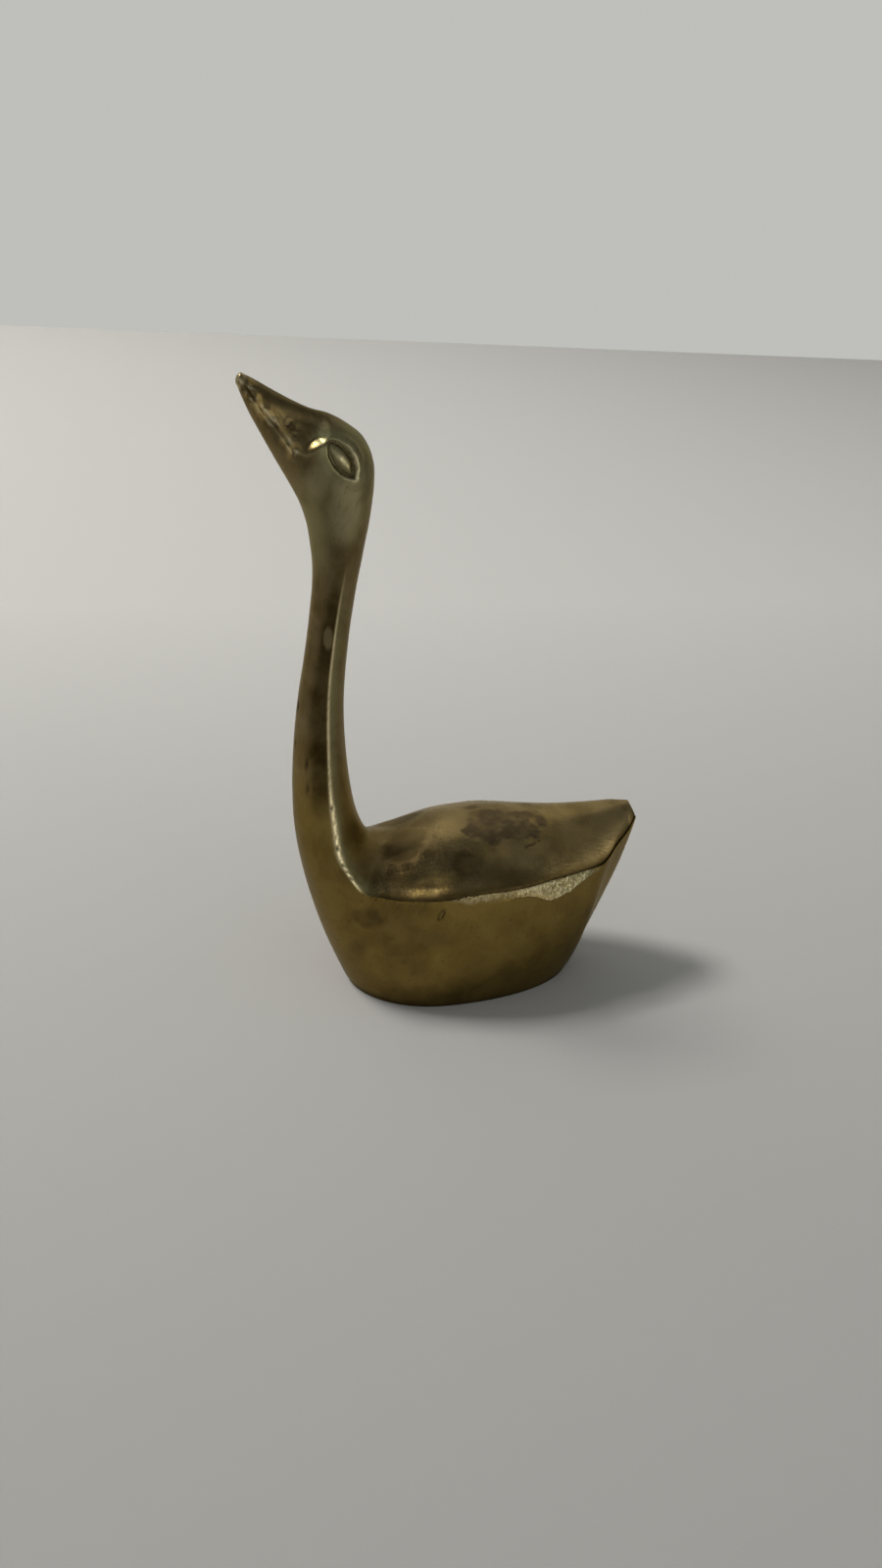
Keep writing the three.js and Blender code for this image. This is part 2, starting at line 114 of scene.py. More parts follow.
ribs = np.array([
    headRib(0.418, 1.096, 0.441, 1.036, 0.18, 0.5),
    headRib(0.342, 1.062, 0.413, 0.967, 0.34, 0.5),
    headRib(0.243, 1.01, 0.367, 0.873, 0.46, 0.5),
    headRib(0.137, 0.957, 0.303, 0.76, 0.58, 0.49, 0.15),
    headRib(0.03, 0.913, 0.233, 0.64, 0.72, 0.46, 0.35),
    headRib(-0.077, 0.887, 0.157, 0.51, 0.86, 0.43, 0.35),
    headRib(-0.177, 0.84, 0.087, 0.38, 0.96, 0.42, 0.2),
    headRib(-0.282, 0.762, 0.043, 0.257, 1, 0.42),
    headRib(-0.343, 0.645, 0.017, 0.127, 0.98, 0.42),
    headRib(-0.36, 0.503, 0, 0, 0.94, 0.42),
    neckRib(0.933, 1, 1.17, 1.48, 1.07, 0.42, 0.1),
    neckRib(0.87, 0.91, 1.07, 1.14, 1.02, 0.42, 0.25),
    neckRib(0.79, 0.77, 1, 0.91, 1, 0.42, 0.45),
    neckRib(0.695, 0.57, 0.98, 0.74, 1.01, 0.41, 0.7),
    neckRib(0.597, 0.34, 1.01, 0.53, 1.05, 0.4, 0.9),
    neckRib(0.494, 0.15, 1.07, 0.36, 1.17, 0.38, 1),
    neckRib(0.386, 0.04, 1.17, 0.28, 1.33, 0.38, 1),
    neckRib(0.272, 0.03, 1.28, 0.25, 1.62, 0.4, 1),
    shoulderRib(1.45, 3.12, 0.86, 3.03, 0.48, 1.33, 2),
    shoulderRib(1.63, 2.1, 0.95, 1.7, 0.59, 1.06, 1.8),
    shoulderRib(1.81, 1.55, 1.16, 0.76, 0.665, 0.775, 1.7),
    shoulderRib(2.0, 1.4, 1.48, -0.12, 0.725, 0.473, 1.7),
    shoulderRib(2.29, 1.5, 1.91, -0.28, 0.79, 0.192, 1.7),
    bodyRib(-0.565, 0.7, -0.665, 0.862, -0.135, -1, 1.75),
    bodyRib(-0.44, 0.8, -0.518, 0.925, -0.1, -0.952, 1.8),
    bodyRib(-0.28, 0.9, -0.338, 0.975, -0.05, -0.786, 1.9),
    bodyRib(-0.08, 0.97, -0.115, 0.997, 0.025, -0.524, 1.9),
    bodyRib(0.16, 1, 0.13, 0.975, 0.04, -0.16, 2),
    bodyRib(0.444, 0.975, 0.42, 0.904, 0.03, 0.242, 2),
    bodyRib(0.726, 0.955, 0.7, 0.791, 0.05, 0.605, 2),
    bodyRib(0.968, 0.975, 0.944, 0.655, 0.07, 0.867, 2),
    bodyRib(1.149, 1.01, 1.12, 0.531, 0.12, 0.976, 2),
    tailRib(0.56, 0.52, 2.55, 0.46, 0, 0),
    tailRib(0.7, 0.7, 2.0, 0.62, 0.32, 0.255),
    tailRib(0.8, 0.84, 1.52, 0.74, 0.664, 0.54),
    tailRib(0.85, 0.93, 1.22, 0.92, 0.905, 0.81),
    tailRib(0.875, 0.98, 1, 1, 1, 0.95),
])
lastRib = len(ribs) - 1
neckRoot = 19.0  # rib of the neck joint
backStart = 21.1  # rib at the front of the back casting
paddedRibs = np.vstack([2 * ribs[0] - ribs[1], ribs, 2 * ribs[-1] - ribs[-2]])


# Smooth ribs between those of the list, t counts them from the bill's tip
def guides(t):
    t = np.asarray(t, float)
    i = np.clip(t.astype(int), 0, lastRib - 1)
    f = (t - i)[:, None]
    a, b, c, d = (paddedRibs[i + k] for k in range(4))
    g = b + 0.5 * f * (c - a + f * (2 * a - 5 * b + 4 * c - d + f * (3 * (b - c) + d - a)))
    g[:, 6] = np.maximum(g[:, 6], 0)  # the keel stays on or above the ground
    g[:, 7] = np.clip(g[:, 7], 0, 1)
    return g


def columns(g):
    return [g[:, k:k + 1] for k in range(9)]


# Rib curve from crest to edge, u from 0 to 1
def overEdge(g, u, side):
    crestX, crestZ, edgeX, half, edgeZ, _, _, sharp, bulge = columns(g)
    turn = u * math.pi / 2
    out = (1 - sharp) * np.sin(turn) + sharp * u
    along = (1 - sharp) * (1 - np.cos(turn)) + sharp * u ** bulge
    x = crestX + (edgeX - crestX) * along
    z = crestZ + (edgeZ - crestZ) * along
    return np.stack([x, side * half * out, z], -1)


# Rib curve from edge to foot or keel, u from 0 to 1; a rib on the ground ends at the foot's outline
def underEdge(g, u, side):
    _, _, edgeX, half, edgeZ, keelX, keelZ, _, _ = columns(g)
    onGround = keelZ < 1e-6
    foot = np.where(onGround, np.minimum(footHalf(keelX), swan["footShare"] * half), 0)
    reach = np.sqrt(1 - (foot / half) ** 2)
    turn = np.arcsin(reach) * u
    along = np.sin(turn) / reach
    x = edgeX + (keelX - edgeX) * along
    z = edgeZ + (keelZ - edgeZ) * along
    return np.stack([x, side * half * np.cos(turn), z], -1)


# Soft limits, in mm, ribs or shares: a rise from 0 at low to 1 at high, and a bump of a given width
def smoothstep(low, high, value):
    s = np.clip((value - low) / (high - low), 0, 1)
    return s * s * (3 - 2 * s)


def bell(value, width):
    return np.exp(-(value / width) ** 2)


def strongest(*fields):
    return np.maximum.reduce(np.broadcast_arrays(*fields))


def unit(vectors):
    return vectors / np.maximum(np.linalg.norm(vectors, axis=-1, keepdims=True), 1e-9)


# Shares from 0 to 1 that crowd towards their start or their end
def crowdedStart(count, power):
    return np.linspace(0, 1, count) ** power


def crowdedEnd(count, power):
    return 1 - (1 - np.linspace(0, 1, count)) ** power


# Lines of points from one line to another, both included
def linesBetween(a, b, count):
    s = np.linspace(0, 1, count + 1)[None, :, None]
    return a[:, None] + (b - a)[:, None] * s


# Factors that scramble a cell's place into a random number
scramble = {"shift": 31.7, "axes": (73856093, 19349663, 83492791), "span": 0xFFFFFFFF,
            "turns": ((13, 1274126177), (16, 2246822519)), "lastTurn": 15}


# Soft random field between -1 and 1, with bumps of the given size; the seed picks the pattern
def unevenness(points, size, seed):
    q = points / size + scramble["shift"] * seed
    cell = np.floor(q).astype(np.int64)
    f = q - cell
    f = f * f * f * (f * (f * 6 - 15) + 10)
    span = np.uint64(scramble["span"])
    total = np.zeros(points.shape[:-1])
    for corner in np.ndindex(2, 2, 2):
        c = (cell + np.array(corner)).astype(np.uint64)
        h = np.zeros(total.shape, np.uint64)
        for axis, factor in enumerate(scramble["axes"]):
            h = h ^ c[..., axis] * np.uint64(factor)
        for shift, factor in scramble["turns"]:
            h = (h ^ (h >> np.uint64(shift))) * np.uint64(factor) & span
        h = h ^ (h >> np.uint64(scramble["lastTurn"]))
        total += (h.astype(float) / (span / 2) - 1) * np.prod(np.where(corner, f, 1 - f), axis=-1)
    return total


# Ridge along the neck: its radius and the bright line that wear leaves on it, mm, by rib
ridgeLook = {
    "radius": 0.32, "headRadius": 0.72, "headRibs": (10.5, 15.0),
    "spreadRadius": 0.26, "spread": (18.4, 1.3),
    "line": 0.36, "spreadLine": 0.56, "lineSpread": (18.5, 1.4),
    "frontShare": 0.55, "lineEnd": (21.05, 20.5),
}


# Soft at the head, crisp towards the rim, worn where the neck spreads
def ridgeRadius(t):
    look = ridgeLook
    at, reach = look["spread"]
    soft = look["headRadius"] * (1 - smoothstep(*look["headRibs"], t))
    return look["radius"] + soft + look["spreadRadius"] * bell(t - at, reach)


# A thin line, broad where the neck spreads, mostly behind the edge
def ridgeWear(t, ridge, behind):
    look = ridgeLook
    at, reach = look["lineSpread"]
    width = look["line"] + look["spreadLine"] * bell(t - at, reach)
    return bell(ridge, width * np.where(behind, 1.0, look["frontShare"])) * smoothstep(*look["lineEnd"], t)


# Skin of one side, crest to keel, with the edge between its two curves rounded
def skinHalf(t, overU, underU, side):
    g = guides(t)
    under = underEdge(g, underU, side)
    corner, step = under[:, :1], 0.02
    rearward = unit(overEdge(g, np.array([1 - step]), side) - corner)
    frontward = unit(underEdge(g, np.array([step]), side) - corner)
    half = np.concatenate([overEdge(g, overU[:-1], side), under], 1)
    radius = ridgeRadius(t)[:, None, None]
    gap = np.linalg.norm(half - corner, axis=-1, keepdims=True)
    return half + (rearward + frontward) * radius / 2 * np.exp(-gap / radius)


# Outward normals of a grid of points, rows along the swan and columns round it
def gridNormals(grid):
    n = unit(np.cross(np.gradient(grid, axis=1), np.gradient(grid, axis=0)))
    return n * np.sign((n[..., 1] * grid[..., 1]).sum())


def gridFaces(rows, cols, closed):
    r, c = np.meshgrid(np.arange(rows - 1), np.arange(cols if closed else cols - 1), indexing="ij")
    nextCol = (c + 1) % cols
    corners = [r * cols + c, r * cols + nextCol, (r + 1) * cols + nextCol, (r + 1) * cols + c]
    return np.stack(corners, -1).reshape(-1, 4)


# Unevenness of the hand-dressed casting, shared by all its pieces, mm; mergeGap and sliver are in metres
casting = {
    "broad": 0.07, "broadSize": 11.0, "mid": 0.03, "midSize": 4.5, "fine": 0.008, "fineSize": 1.5,
    "mergeGap": 2e-6, "sliver": 1e-6,
}


def castRelief(points):
    return (casting["broad"] * unevenness(points, casting["broadSize"], 1)
            + casting["mid"] * unevenness(points, casting["midSize"], 2)
            + casting["fine"] * unevenness(points, casting["fineSize"], 3))


# Normals of the finished skin on one rib, so that two castings meet there without a step in shading
def jointNormals(rib, overU, underU, side):
    step = 0.04
    half = skinHalf(rib + step * np.arange(-2, 3), overU, underU, side)
    half = half + gridNormals(half) * castRelief(half)[..., None]
    return gridNormals(half)[2]


# Closed mesh object from points in mm, with painted attributes; given normals hold along flush joints
def castingObject(name, points, faces, paint, kept):
    mesh = bpy.data.meshes.new(name)
    mesh.from_pydata((points * mm).tolist(), [], faces)
    for label, values in paint.items():
        mesh.attributes.new(label, "FLOAT", "POINT").data.foreach_set("value", values.astype(np.float32))
    held = mesh.attributes.new("jointNormal", "FLOAT_VECTOR", "POINT")
    held.data.foreach_set("vector", kept.astype(np.float32).ravel())
    work = bmesh.new()
    work.from_mesh(mesh)
    bmesh.ops.remove_doubles(work, verts=work.verts, dist=casting["mergeGap"])
    bmesh.ops.dissolve_degenerate(work, edges=work.edges, dist=casting["sliver"])
    bmesh.ops.recalc_face_normals(work, faces=work.faces)
    if work.calc_volume(signed=True) < 0:
        bmesh.ops.reverse_faces(work, faces=work.faces)
    for face in work.faces:
        face.smooth = True
    work.to_mesh(mesh)
    work.free()
    normals = np.zeros(len(mesh.vertices) * 3, np.float32)
    mesh.attributes["jointNormal"].data.foreach_get("vector", normals)
    mesh.normals_split_custom_set_from_vertices(normals.reshape(-1, 3).tolist())
    mesh.attributes.remove(mesh.attributes["jointNormal"])
    made = bpy.data.objects.new(name, mesh)
    bpy.context.scene.collection.objects.link(made)
    return made


# Two mirrored half grids joined along the mid-plane, their first and last rings closed by fans.
# hubShifts move the middles of the two fans.
def joinHalves(name, halves, paints, kepts, hubShifts):
    rows, cols = halves[0].shape[:2]
    points = np.concatenate([h.reshape(-1, 3) for h in halves])
    kept = np.concatenate([k.reshape(-1, 3) for k in kepts])
    faces = []
    for index in (0, 1):
        f = gridFaces(rows, cols, False) + index * rows * cols
        faces += (f[:, ::-1] if index else f).tolist()
    for row, shift in zip((0, rows - 1), hubShifts):
        ring = [row * cols + c for c in range(cols)]
        ring += [(rows + row) * cols + c for c in range(cols - 1, -1, -1)]
        hub = len(points)
        points = np.vstack([points, points[ring].mean(0) + shift])
        faces += [[ring[k], ring[(k + 1) % len(ring)], hub] for k in range(len(ring))]
    kept = np.vstack([kept, np.zeros((2, 3))])
    paint = {}
    for label in paints[0]:
        paint[label] = np.append(np.concatenate([p[label].ravel() for p in paints]), [0, 0])
    return castingObject(name, points, faces, paint, kept)


# Signed distance, in the XZ plane, from a line of points: positive above the line
def lineDistance(points, line):
    px, pz = points[..., 0], points[..., 2]
    best, sign = np.full(px.shape, np.inf), np.ones(px.shape)
    for (ax, az), (bx, bz) in zip(line[:-1], line[1:]):
        dx, dz = bx - ax, bz - az
        s = np.clip(((px - ax) * dx + (pz - az) * dz) / (dx * dx + dz * dz), 0, 1)
        gapX, gapZ = px - ax - s * dx, pz - az - s * dz
        gap = np.hypot(gapX, gapZ)
        sign = np.where(gap < best, np.sign(dx * gapZ - dz * gapX), sign)
        best = np.minimum(gap, best)
    return best * sign


# How far a place is inside an almond outline
def insideAlmond(along, across, length, width):
    radius = (length * length + width * width) / (4 * width)
    reach = np.sqrt(np.maximum(radius * radius - along * along, 0)) - (radius - width / 2)
    past = np.abs(along) - length / 2
    return np.where(past > 0, -np.hypot(np.maximum(past, 0), across), reach - np.abs(across))


def turned(points, centre, degrees):
    angle = math.radians(degrees)
    dx, dz = points[..., 0] - centre[0], points[..., 2] - centre[1]
    return dx * math.cos(angle) - dz * math.sin(angle), dx * math.sin(angle) + dz * math.cos(angle)


# Way from the middle of an oval patch in X and one other axis, as a share of its reach
def ovalGap(points, patch, axis):
    x, other, reachX, reachOther = patch[:4]
    return np.hypot((points[..., 0] - x) / reachX, (points[..., axis] - other) / reachOther)


def spotGap(points, place, size):
    return np.linalg.norm((points - np.array(place)) / np.array(size), axis=-1)


def pitField(points, pits):
    total = np.zeros(points.shape[:-1])
    for place, depth, size in pits:
        total += depth * bell(spotGap(points, place, size), 1.0)
    return total


# Nicks in the ridge: rib and depth of each
def nickField(half, t, edge, nicks):
    stretch, width = np.array([1, 1, 1.6]), 0.4
    total = np.zeros(half.shape[:2])
    for rib, depth in nicks:
        centre = half[np.abs(t - rib).argmin(), edge]
        total += depth * bell(np.linalg.norm((half - centre) * stretch, axis=-1), width)
    return total


# Tones, darker places and painted shade that run on across the joints, by height, rib, X or way from the
# edge
sharedLook = {
    "neckZ": (38, 62), "neckRagged": 2.0, "neckRaggedSize": 7.0,
    "backRibs": (19.3, 22.3), "backGap": (0.2, 2.2),
    "breastDark": 0.38, "breastX": (-19.0, -27.0), "breastFoot": (5.0, 12.0), "breastTop": (56.0, 36.0),
    "notchShade": 0.45, "notchRibs": (19.1, 20.2), "notchEnd": (23.4, 21.4), "notchGap": (0.8, 2.2),
    "speckleSize": 0.9, "ridgeSpeckle": 0.15,
}


def neckShare(points):
    ragged = sharedLook["neckRagged"] * unevenness(points, sharedLook["neckRaggedSize"], 4)
    return smoothstep(*sharedLook["neckZ"], points[..., 2] + ragged)


def backShare(t, edgeGap):
    return smoothstep(*sharedLook["backRibs"], t) * smoothstep(*sharedLook["backGap"], edgeGap)


# Darker on the breast
def breastShare(points):
    x, z = points[..., 0], points[..., 2]
    low, high = smoothstep(*sharedLook["breastFoot"], z), smoothstep(*sharedLook["breastTop"], z)
    return sharedLook["breastDark"] * smoothstep(*sharedLook["breastX"], x) * low * high


# Painted shade in the notch behind the neck
def notchShare(t, edgeGap):
    share = sharedLook["notchShade"] * smoothstep(*sharedLook["notchRibs"], t)
    return share * smoothstep(*sharedLook["notchEnd"], t) * smoothstep(*sharedLook["notchGap"], edgeGap)


# Fine speckle from 0 to 1 that breaks up the wear
def speckles(points):
    return 0.5 + 0.5 * unevenness(points, sharedLook["speckleSize"], 8)


def ridgeShine(speckle):
    return 1 - sharedLook["ridgeSpeckle"] + sharedLook["ridgeSpeckle"] * speckle


# Neck and head
neckLook = {
    "rows": [(0.2, 5.0, 150), (5.0, 8.4, 80), (8.4, neckRoot, 170)],  # first and last rib, count
    "overU": crowdedEnd(34, 1.25), "underU": crowdedStart(64, 1.35),
    "tipDepth": 0.75, "tipRings": 7, "tipAim": 6,  # the tip points away from the row tipAim
    "billRibs": (0.45, 0.9), "billEnd": (4.7, 4.95), "headRibs": (3.5, 9.5), "ridgeRibs": (10.2, 13.0),
    "mouth": [(-45.5, 123.2), (-44.2, 121.4), (-42.4, 118.8), (-41.3, 117.7), (-39.8, 115.9), (-38.5, 114.2),
              (-37.55, 112.9), (-37.6, 112.4)],
    "mouthDepth": 0.26, "mouthWidth": 0.16, "lipRise": 0.11, "lipGap": 0.42, "mouthLean": (0.61, -0.79),
    "mouthRagged": 0.1, "mouthJitter": 0.06, "streakDepth": 0.05, "streakSize": 0.5, "streakAt": 1.2,
    "billBlotch": (-38.0, 116.8, 1.0, 1.0), "billBlotchReach": 1.5, "billBlotchDepth": 0.12,
    "cheek": (-31.7, 111.3), "cheekReach": 2.75, "cheekTurn": 1.9, "cheekDrop": 1.25,
    "cheekFrom": (10, 52), "cheekTo": (100, 70),  # degrees up from straight ahead
    "eyeRib": 6.5, "eyeAt": 0.83, "eyeTilt": 54.0, "eyeLength": 7.7, "eyeWidth": 3.8, "eyeRagged": 0.12,
    "eyeDepth": 0.5, "eyeLip": 0.22,
    "nicks": [(17.4, 0.34), (18.68, 0.34), (17.9, 0.12), (18.3, 0.14)],  # rib and depth, left ridge
    # casting pits: place, depth, size
    "pits": [((-36.1, -0.8, 64.4), 0.24, (0.4, 0.4, 1.2)), ((-34.7, -4.2, 53.7), 0.22, (0.35, 0.35, 1.5)),
             ((-34.5, -4.9, 48.6), 0.18, (0.35, 0.35, 1.3)), ((-36.6, -1.5, 57.0), 0.14, (0.35, 0.35, 0.7)),
             ((-36.5, -1.2, 70.5), 0.16, (0.35, 0.35, 0.8)), ((-33.9, 1.9, 73.0), 0.15, (0.5, 0.5, 1.0)),
             ((-35.4, 3.9, 50.0), 0.2, (0.5, 0.5, 1.2)), ((-36.4, -1.9, 61.0), 0.1, (0.3, 0.3, 1.4))],
    "blotch": ((-31.0, -4.0, 79.2), (1.2, 1.2, 3.0)), "blotchDepth": 0.05, "blotchWear": 0.12,
    # painted sheen, paler behind and below the eye: X, Z, reach along each, strength
    "paleSheen": [(-28.4, 103.5, 3.2, 6.5, 0.24), (-33.2, 108.6, 2.3, 3.8, 0.15)], "paleSheenFrom": 4,
    # darker places: the forehead's painted dark reflection by place, reach and strength, and the strength of
    # the darkening elsewhere
    "forehead": (-36.0, 117.4, 3.4, 2.2, 0.7), "billDark": 0.25, "billTop": (117.0, 121.0),
    "crownDark": 0.5, "breastDark": 0.75,
    "tipWear": 0.7, "lipWear": 0.6, "lidWear": 0.8, "napeGreen": 0.6, "ridgeGreen": 0.7,
}
eyePlace = overEdge(guides([neckLook["eyeRib"]]), np.array([neckLook["eyeAt"]]), left)[0, 0]
eyeCentre = (eyePlace[0], eyePlace[2])


def eyeInside(points):
    along, across = turned(points, eyeCentre, neckLook["eyeTilt"])
    inside = insideAlmond(along, across, neckLook["eyeLength"], neckLook["eyeWidth"])
    return inside + neckLook["eyeRagged"] * unevenness(points, 0.8, 35), along, across


def headSpan(t):
    first, last = neckLook["headRibs"]
    return ((t > first) & (t < last)) * 1.0


# Height above the mouth line, how far a place is on the bill, and where the cut is broken
def mouthPlace(points, t):
    look = neckLook
    mouth = lineDistance(points, look["mouth"])
    mouth = mouth + look["mouthRagged"] * unevenness(points, 0.9, 31)
    mouth = mouth + look["mouthJitter"] * unevenness(points, 0.4, 38)
    onBill = smoothstep(*look["billRibs"], t) * (1 - smoothstep(*look["billEnd"], t))
    return mouth, onBill, 0.6 + 0.4 * unevenness(points, 1.3, 32)


def blotchOn(points):
    return bell(ovalGap(points, neckLook["billBlotch"], 2), neckLook["billBlotchReach"])


# Mouth with its lips, file streaks along it, and a rough spot where the bill meets the head
def mouthRelief(points, t):
    look = neckLook
    mouth, onBill, broken = mouthPlace(points, t)
    groove = -look["mouthDepth"] * broken * bell(mouth, look["mouthWidth"])
    lips = bell(mouth + look["lipGap"], 0.26) + 0.9 * bell(mouth - look["lipGap"], 0.3)
    lips = look["lipRise"] * lips * broken
    leanX, leanZ = look["mouthLean"]
    along = points[..., 0] * leanX + points[..., 2] * leanZ
    across = points[..., 2] * leanX - points[..., 0] * leanZ
    streaked = np.stack([along * 0.22, points[..., 1] * 0.5, across], -1)
    rough = look["streakDepth"] * unevenness(streaked, look["streakSize"], 33)
    rough = rough * bell(mouth - look["streakAt"], 1.0)
    rough = rough + look["billBlotchDepth"] * unevenness(points, 0.55, 34) * blotchOn(points)
    return onBill * (groove + lips + rough)


# Almond recess with a raised lip that is heavier towards the rear
def eyeRelief(points, t):
    look = neckLook
    inside, along, across = eyeInside(points)
    recess = -look["eyeDepth"] * smoothstep(0.0, 0.3, inside)
    heavier = 1 + 1.1 * np.clip(0.32 * across + 0.22 * along, -0.8, 1.3)
    lip = look["eyeLip"] * heavier * (bell(inside + 0.38, 0.36) + 0.7 * bell(inside + 1.1, 0.7))
    return headSpan(t) * (recess + lip)


# The cheek is a ball: bill and forehead stand back in front of it and above it
def cheekRelief(points, t):
    look = neckLook
    ahead, up = look["cheek"][0] - points[..., 0], points[..., 2] - look["cheek"][1]
    out, angle = np.hypot(ahead, up), np.degrees(np.arctan2(up, ahead))
    facing = smoothstep(*look["cheekFrom"], angle) * smoothstep(*look["cheekTo"], angle)
    facing = facing * smoothstep(0.2, 2.8, np.abs(points[..., 1]))
    turn = smoothstep(look["cheekReach"], look["cheekReach"] + look["cheekTurn"], out)
    turn = turn * smoothstep(14.0, 6.0, out)
    return (t < look["headRibs"][1]) * (-look["cheekDrop"] * facing * turn)


def neckPaint(half, tt, ridge, pits, nicks, blotch):
    look = neckLook
    edge, col = len(look["overU"]) - 1, np.arange(half.shape[1])
    mouth, onBill, broken = mouthPlace(half, tt)
    inside, along, across = eyeInside(half)
    onHead, onRidge = headSpan(tt), smoothstep(*look["ridgeRibs"], tt)
    speckle, blotched = speckles(half), smoothstep(0.3, 0.6, blotch)

    # bright wear and painted sheen: lips, rear lid of the eye, the painted sheen behind and below the eye,
    # ridge and tip of the bill
    lips = 0.7 * bell(mouth + look["lipGap"], 0.24) + bell(mouth - 0.55, 0.35)
    lid = onHead * bell(inside + 0.45, 0.4) * smoothstep(-0.5, 1.6, 0.3 * across + 0.25 * along)
    paleSheen = []
    for k, patch in enumerate(look["paleSheen"]):
        gap = ovalGap(half, patch, 2) + 0.2 * unevenness(half, 2.4, 46 + k)
        paleSheen.append(patch[-1] * smoothstep(1.3, 0.4, gap) * (tt > look["paleSheenFrom"]))
    wearAndHighlight = strongest(onRidge * ridgeWear(tt, ridge, col <= edge) * ridgeShine(speckle),
                     look["lipWear"] * onBill * smoothstep(0.4, 0.8, speckle) * lips, look["lidWear"] * lid,
                     look["blotchWear"] * blotched, look["tipWear"] * smoothstep(0.8, 0.3, tt) * speckle,
                     *paleSheen)
    warmAndHighlight = onBill * bell(mouth - 0.3, 1.1) * smoothstep(0.0, 0.5, unevenness(half, 1.2, 37))
    grimeAndShade = strongest(0.75 * onBill * broken * bell(mouth, 0.17), onHead * bell(inside - 0.3, 0.24) * 0.7,
                      0.85 * blotchOn(half) * smoothstep(0.3, 0.7, speckle) * (tt < 6),
                      np.minimum(pits * 5, 0.9), np.minimum(nicks * 4, 0.95))

    # darker places: the forehead and a band just ahead of the ridge are painted dark reflections; the bill,
    # crown and breast are darker
    forehead = look["forehead"][-1] * bell(ovalGap(half, look["forehead"], 2), 1.0)
    bill = look["billDark"] * smoothstep(*look["billTop"], half[..., 2]) * (tt < 5)
    crestGap = np.linalg.norm(half - half[:, :1], axis=-1)
    crown = smoothstep(3.4, 1.2, crestGap) * smoothstep(3.8, 5.0, tt) * smoothstep(8.8, 7.4, tt)
    darkReflectionBand = smoothstep(0.1, 0.6, ridge) * smoothstep(4.8, 2.4, ridge + 0.5 * unevenness(half, 3.0, 39))
    darkReflectionBand = darkReflectionBand * smoothstep(9.6, 12.4, tt) * smoothstep(18.4, 16.4, tt) * (col > edge)
    tarnishAndShade = strongest(forehead, bill, look["crownDark"] * crown, darkReflectionBand * (1 - 0.8 * blotched),
                     look["breastDark"] * breastShare(half) * (col > edge))
    green = strongest(onHead * bell(np.minimum(inside + 1.0, 0), 1.3) * (inside < 0.2),
                      look["napeGreen"] * smoothstep(4.6, 6.4, tt) * smoothstep(10.5, 8.0, tt),
                      look["ridgeGreen"] * onRidge * bell(ridge - 0.8, 1.5) * (col < edge))
    none = np.zeros(tt.shape)
    return {"wearAndHighlight": wearAndHighlight, "grimeAndShade": grimeAndShade, "green": green, "filed": none, "stain": none, "warmAndHighlight": warmAndHighlight,
            "tarnishAndShade": tarnishAndShade, "neckTone": neckShare(half), "backTone": backShare(tt, ridge) * (col < edge)}


def neckHalf(t, side):
    look = neckLook
    half = skinHalf(t, look["overU"], look["underU"], side)
    tt = np.repeat(t[:, None], half.shape[1], 1)
    normals = gridNormals(half)
    edge = len(look["overU"]) - 1
    ridge = np.linalg.norm(half - half[:, edge:edge + 1], axis=-1)
    pits = pitField(half, look["pits"])
    nicks = nickField(half, t, edge, look["nicks"]) * (side == left)
    blotch = bell(spotGap(half, *look["blotch"]), 0.8)
    relief = castRelief(half) + (mouthRelief(half, tt) + eyeRelief(half, tt) + cheekRelief(half, tt)) - pits
    half = half + normals * (relief - nicks - look["blotchDepth"] * blotch)[..., None]
    return half, neckPaint(half, tt, ridge, pits, nicks, blotch)


def buildNeck():
    look = neckLook
    t = np.concatenate([np.linspace(a, b, n, endpoint=False) for a, b, n in look["rows"]] + [[neckRoot]])
    halves, paints, kepts = [], [], []
    for side in (left, right):
        half, paint = neckHalf(t, side)
        kept = np.zeros(half.shape)
        kept[-1] = jointNormals(neckRoot, look["overU"], look["underU"], side)
        halves.append(half)
        paints.append(paint)
        kepts.append(kept)
    middle = (halves[0] + halves[1] * np.array([1, -1, 1])) / 2
    for half in halves:  # both sides share their mid-plane points
        for c in (0, -1):
            half[:, c] = middle[:, c] * midPlane
    # rounded bill tip: rings that shrink to a pole
    centre, behind = ((halves[0][row].mean(0) + halves[1][row].mean(0)) / 2 for row in (0, look["tipAim"]))
    ahead = unit(centre - behind) * look["tipDepth"]
    turns = np.linspace(0, math.pi / 2, look["tipRings"] + 1)[:0:-1]
    for index, half in enumerate(halves):
        rings = np.array([centre + (half[0] - centre) * math.cos(a) + ahead * math.sin(a) for a in turns])
        halves[index] = np.concatenate([rings, half])
        kepts[index] = np.concatenate([np.zeros(rings.shape), kepts[index]])
        for label, values in paints[index].items():
            paints[index][label] = np.concatenate([np.repeat(values[:1], len(rings), 0), values])
    return joinHalves("neckCasting", halves, paints, kepts, (ahead * 0.02, np.array([0, 0, 1.0])))


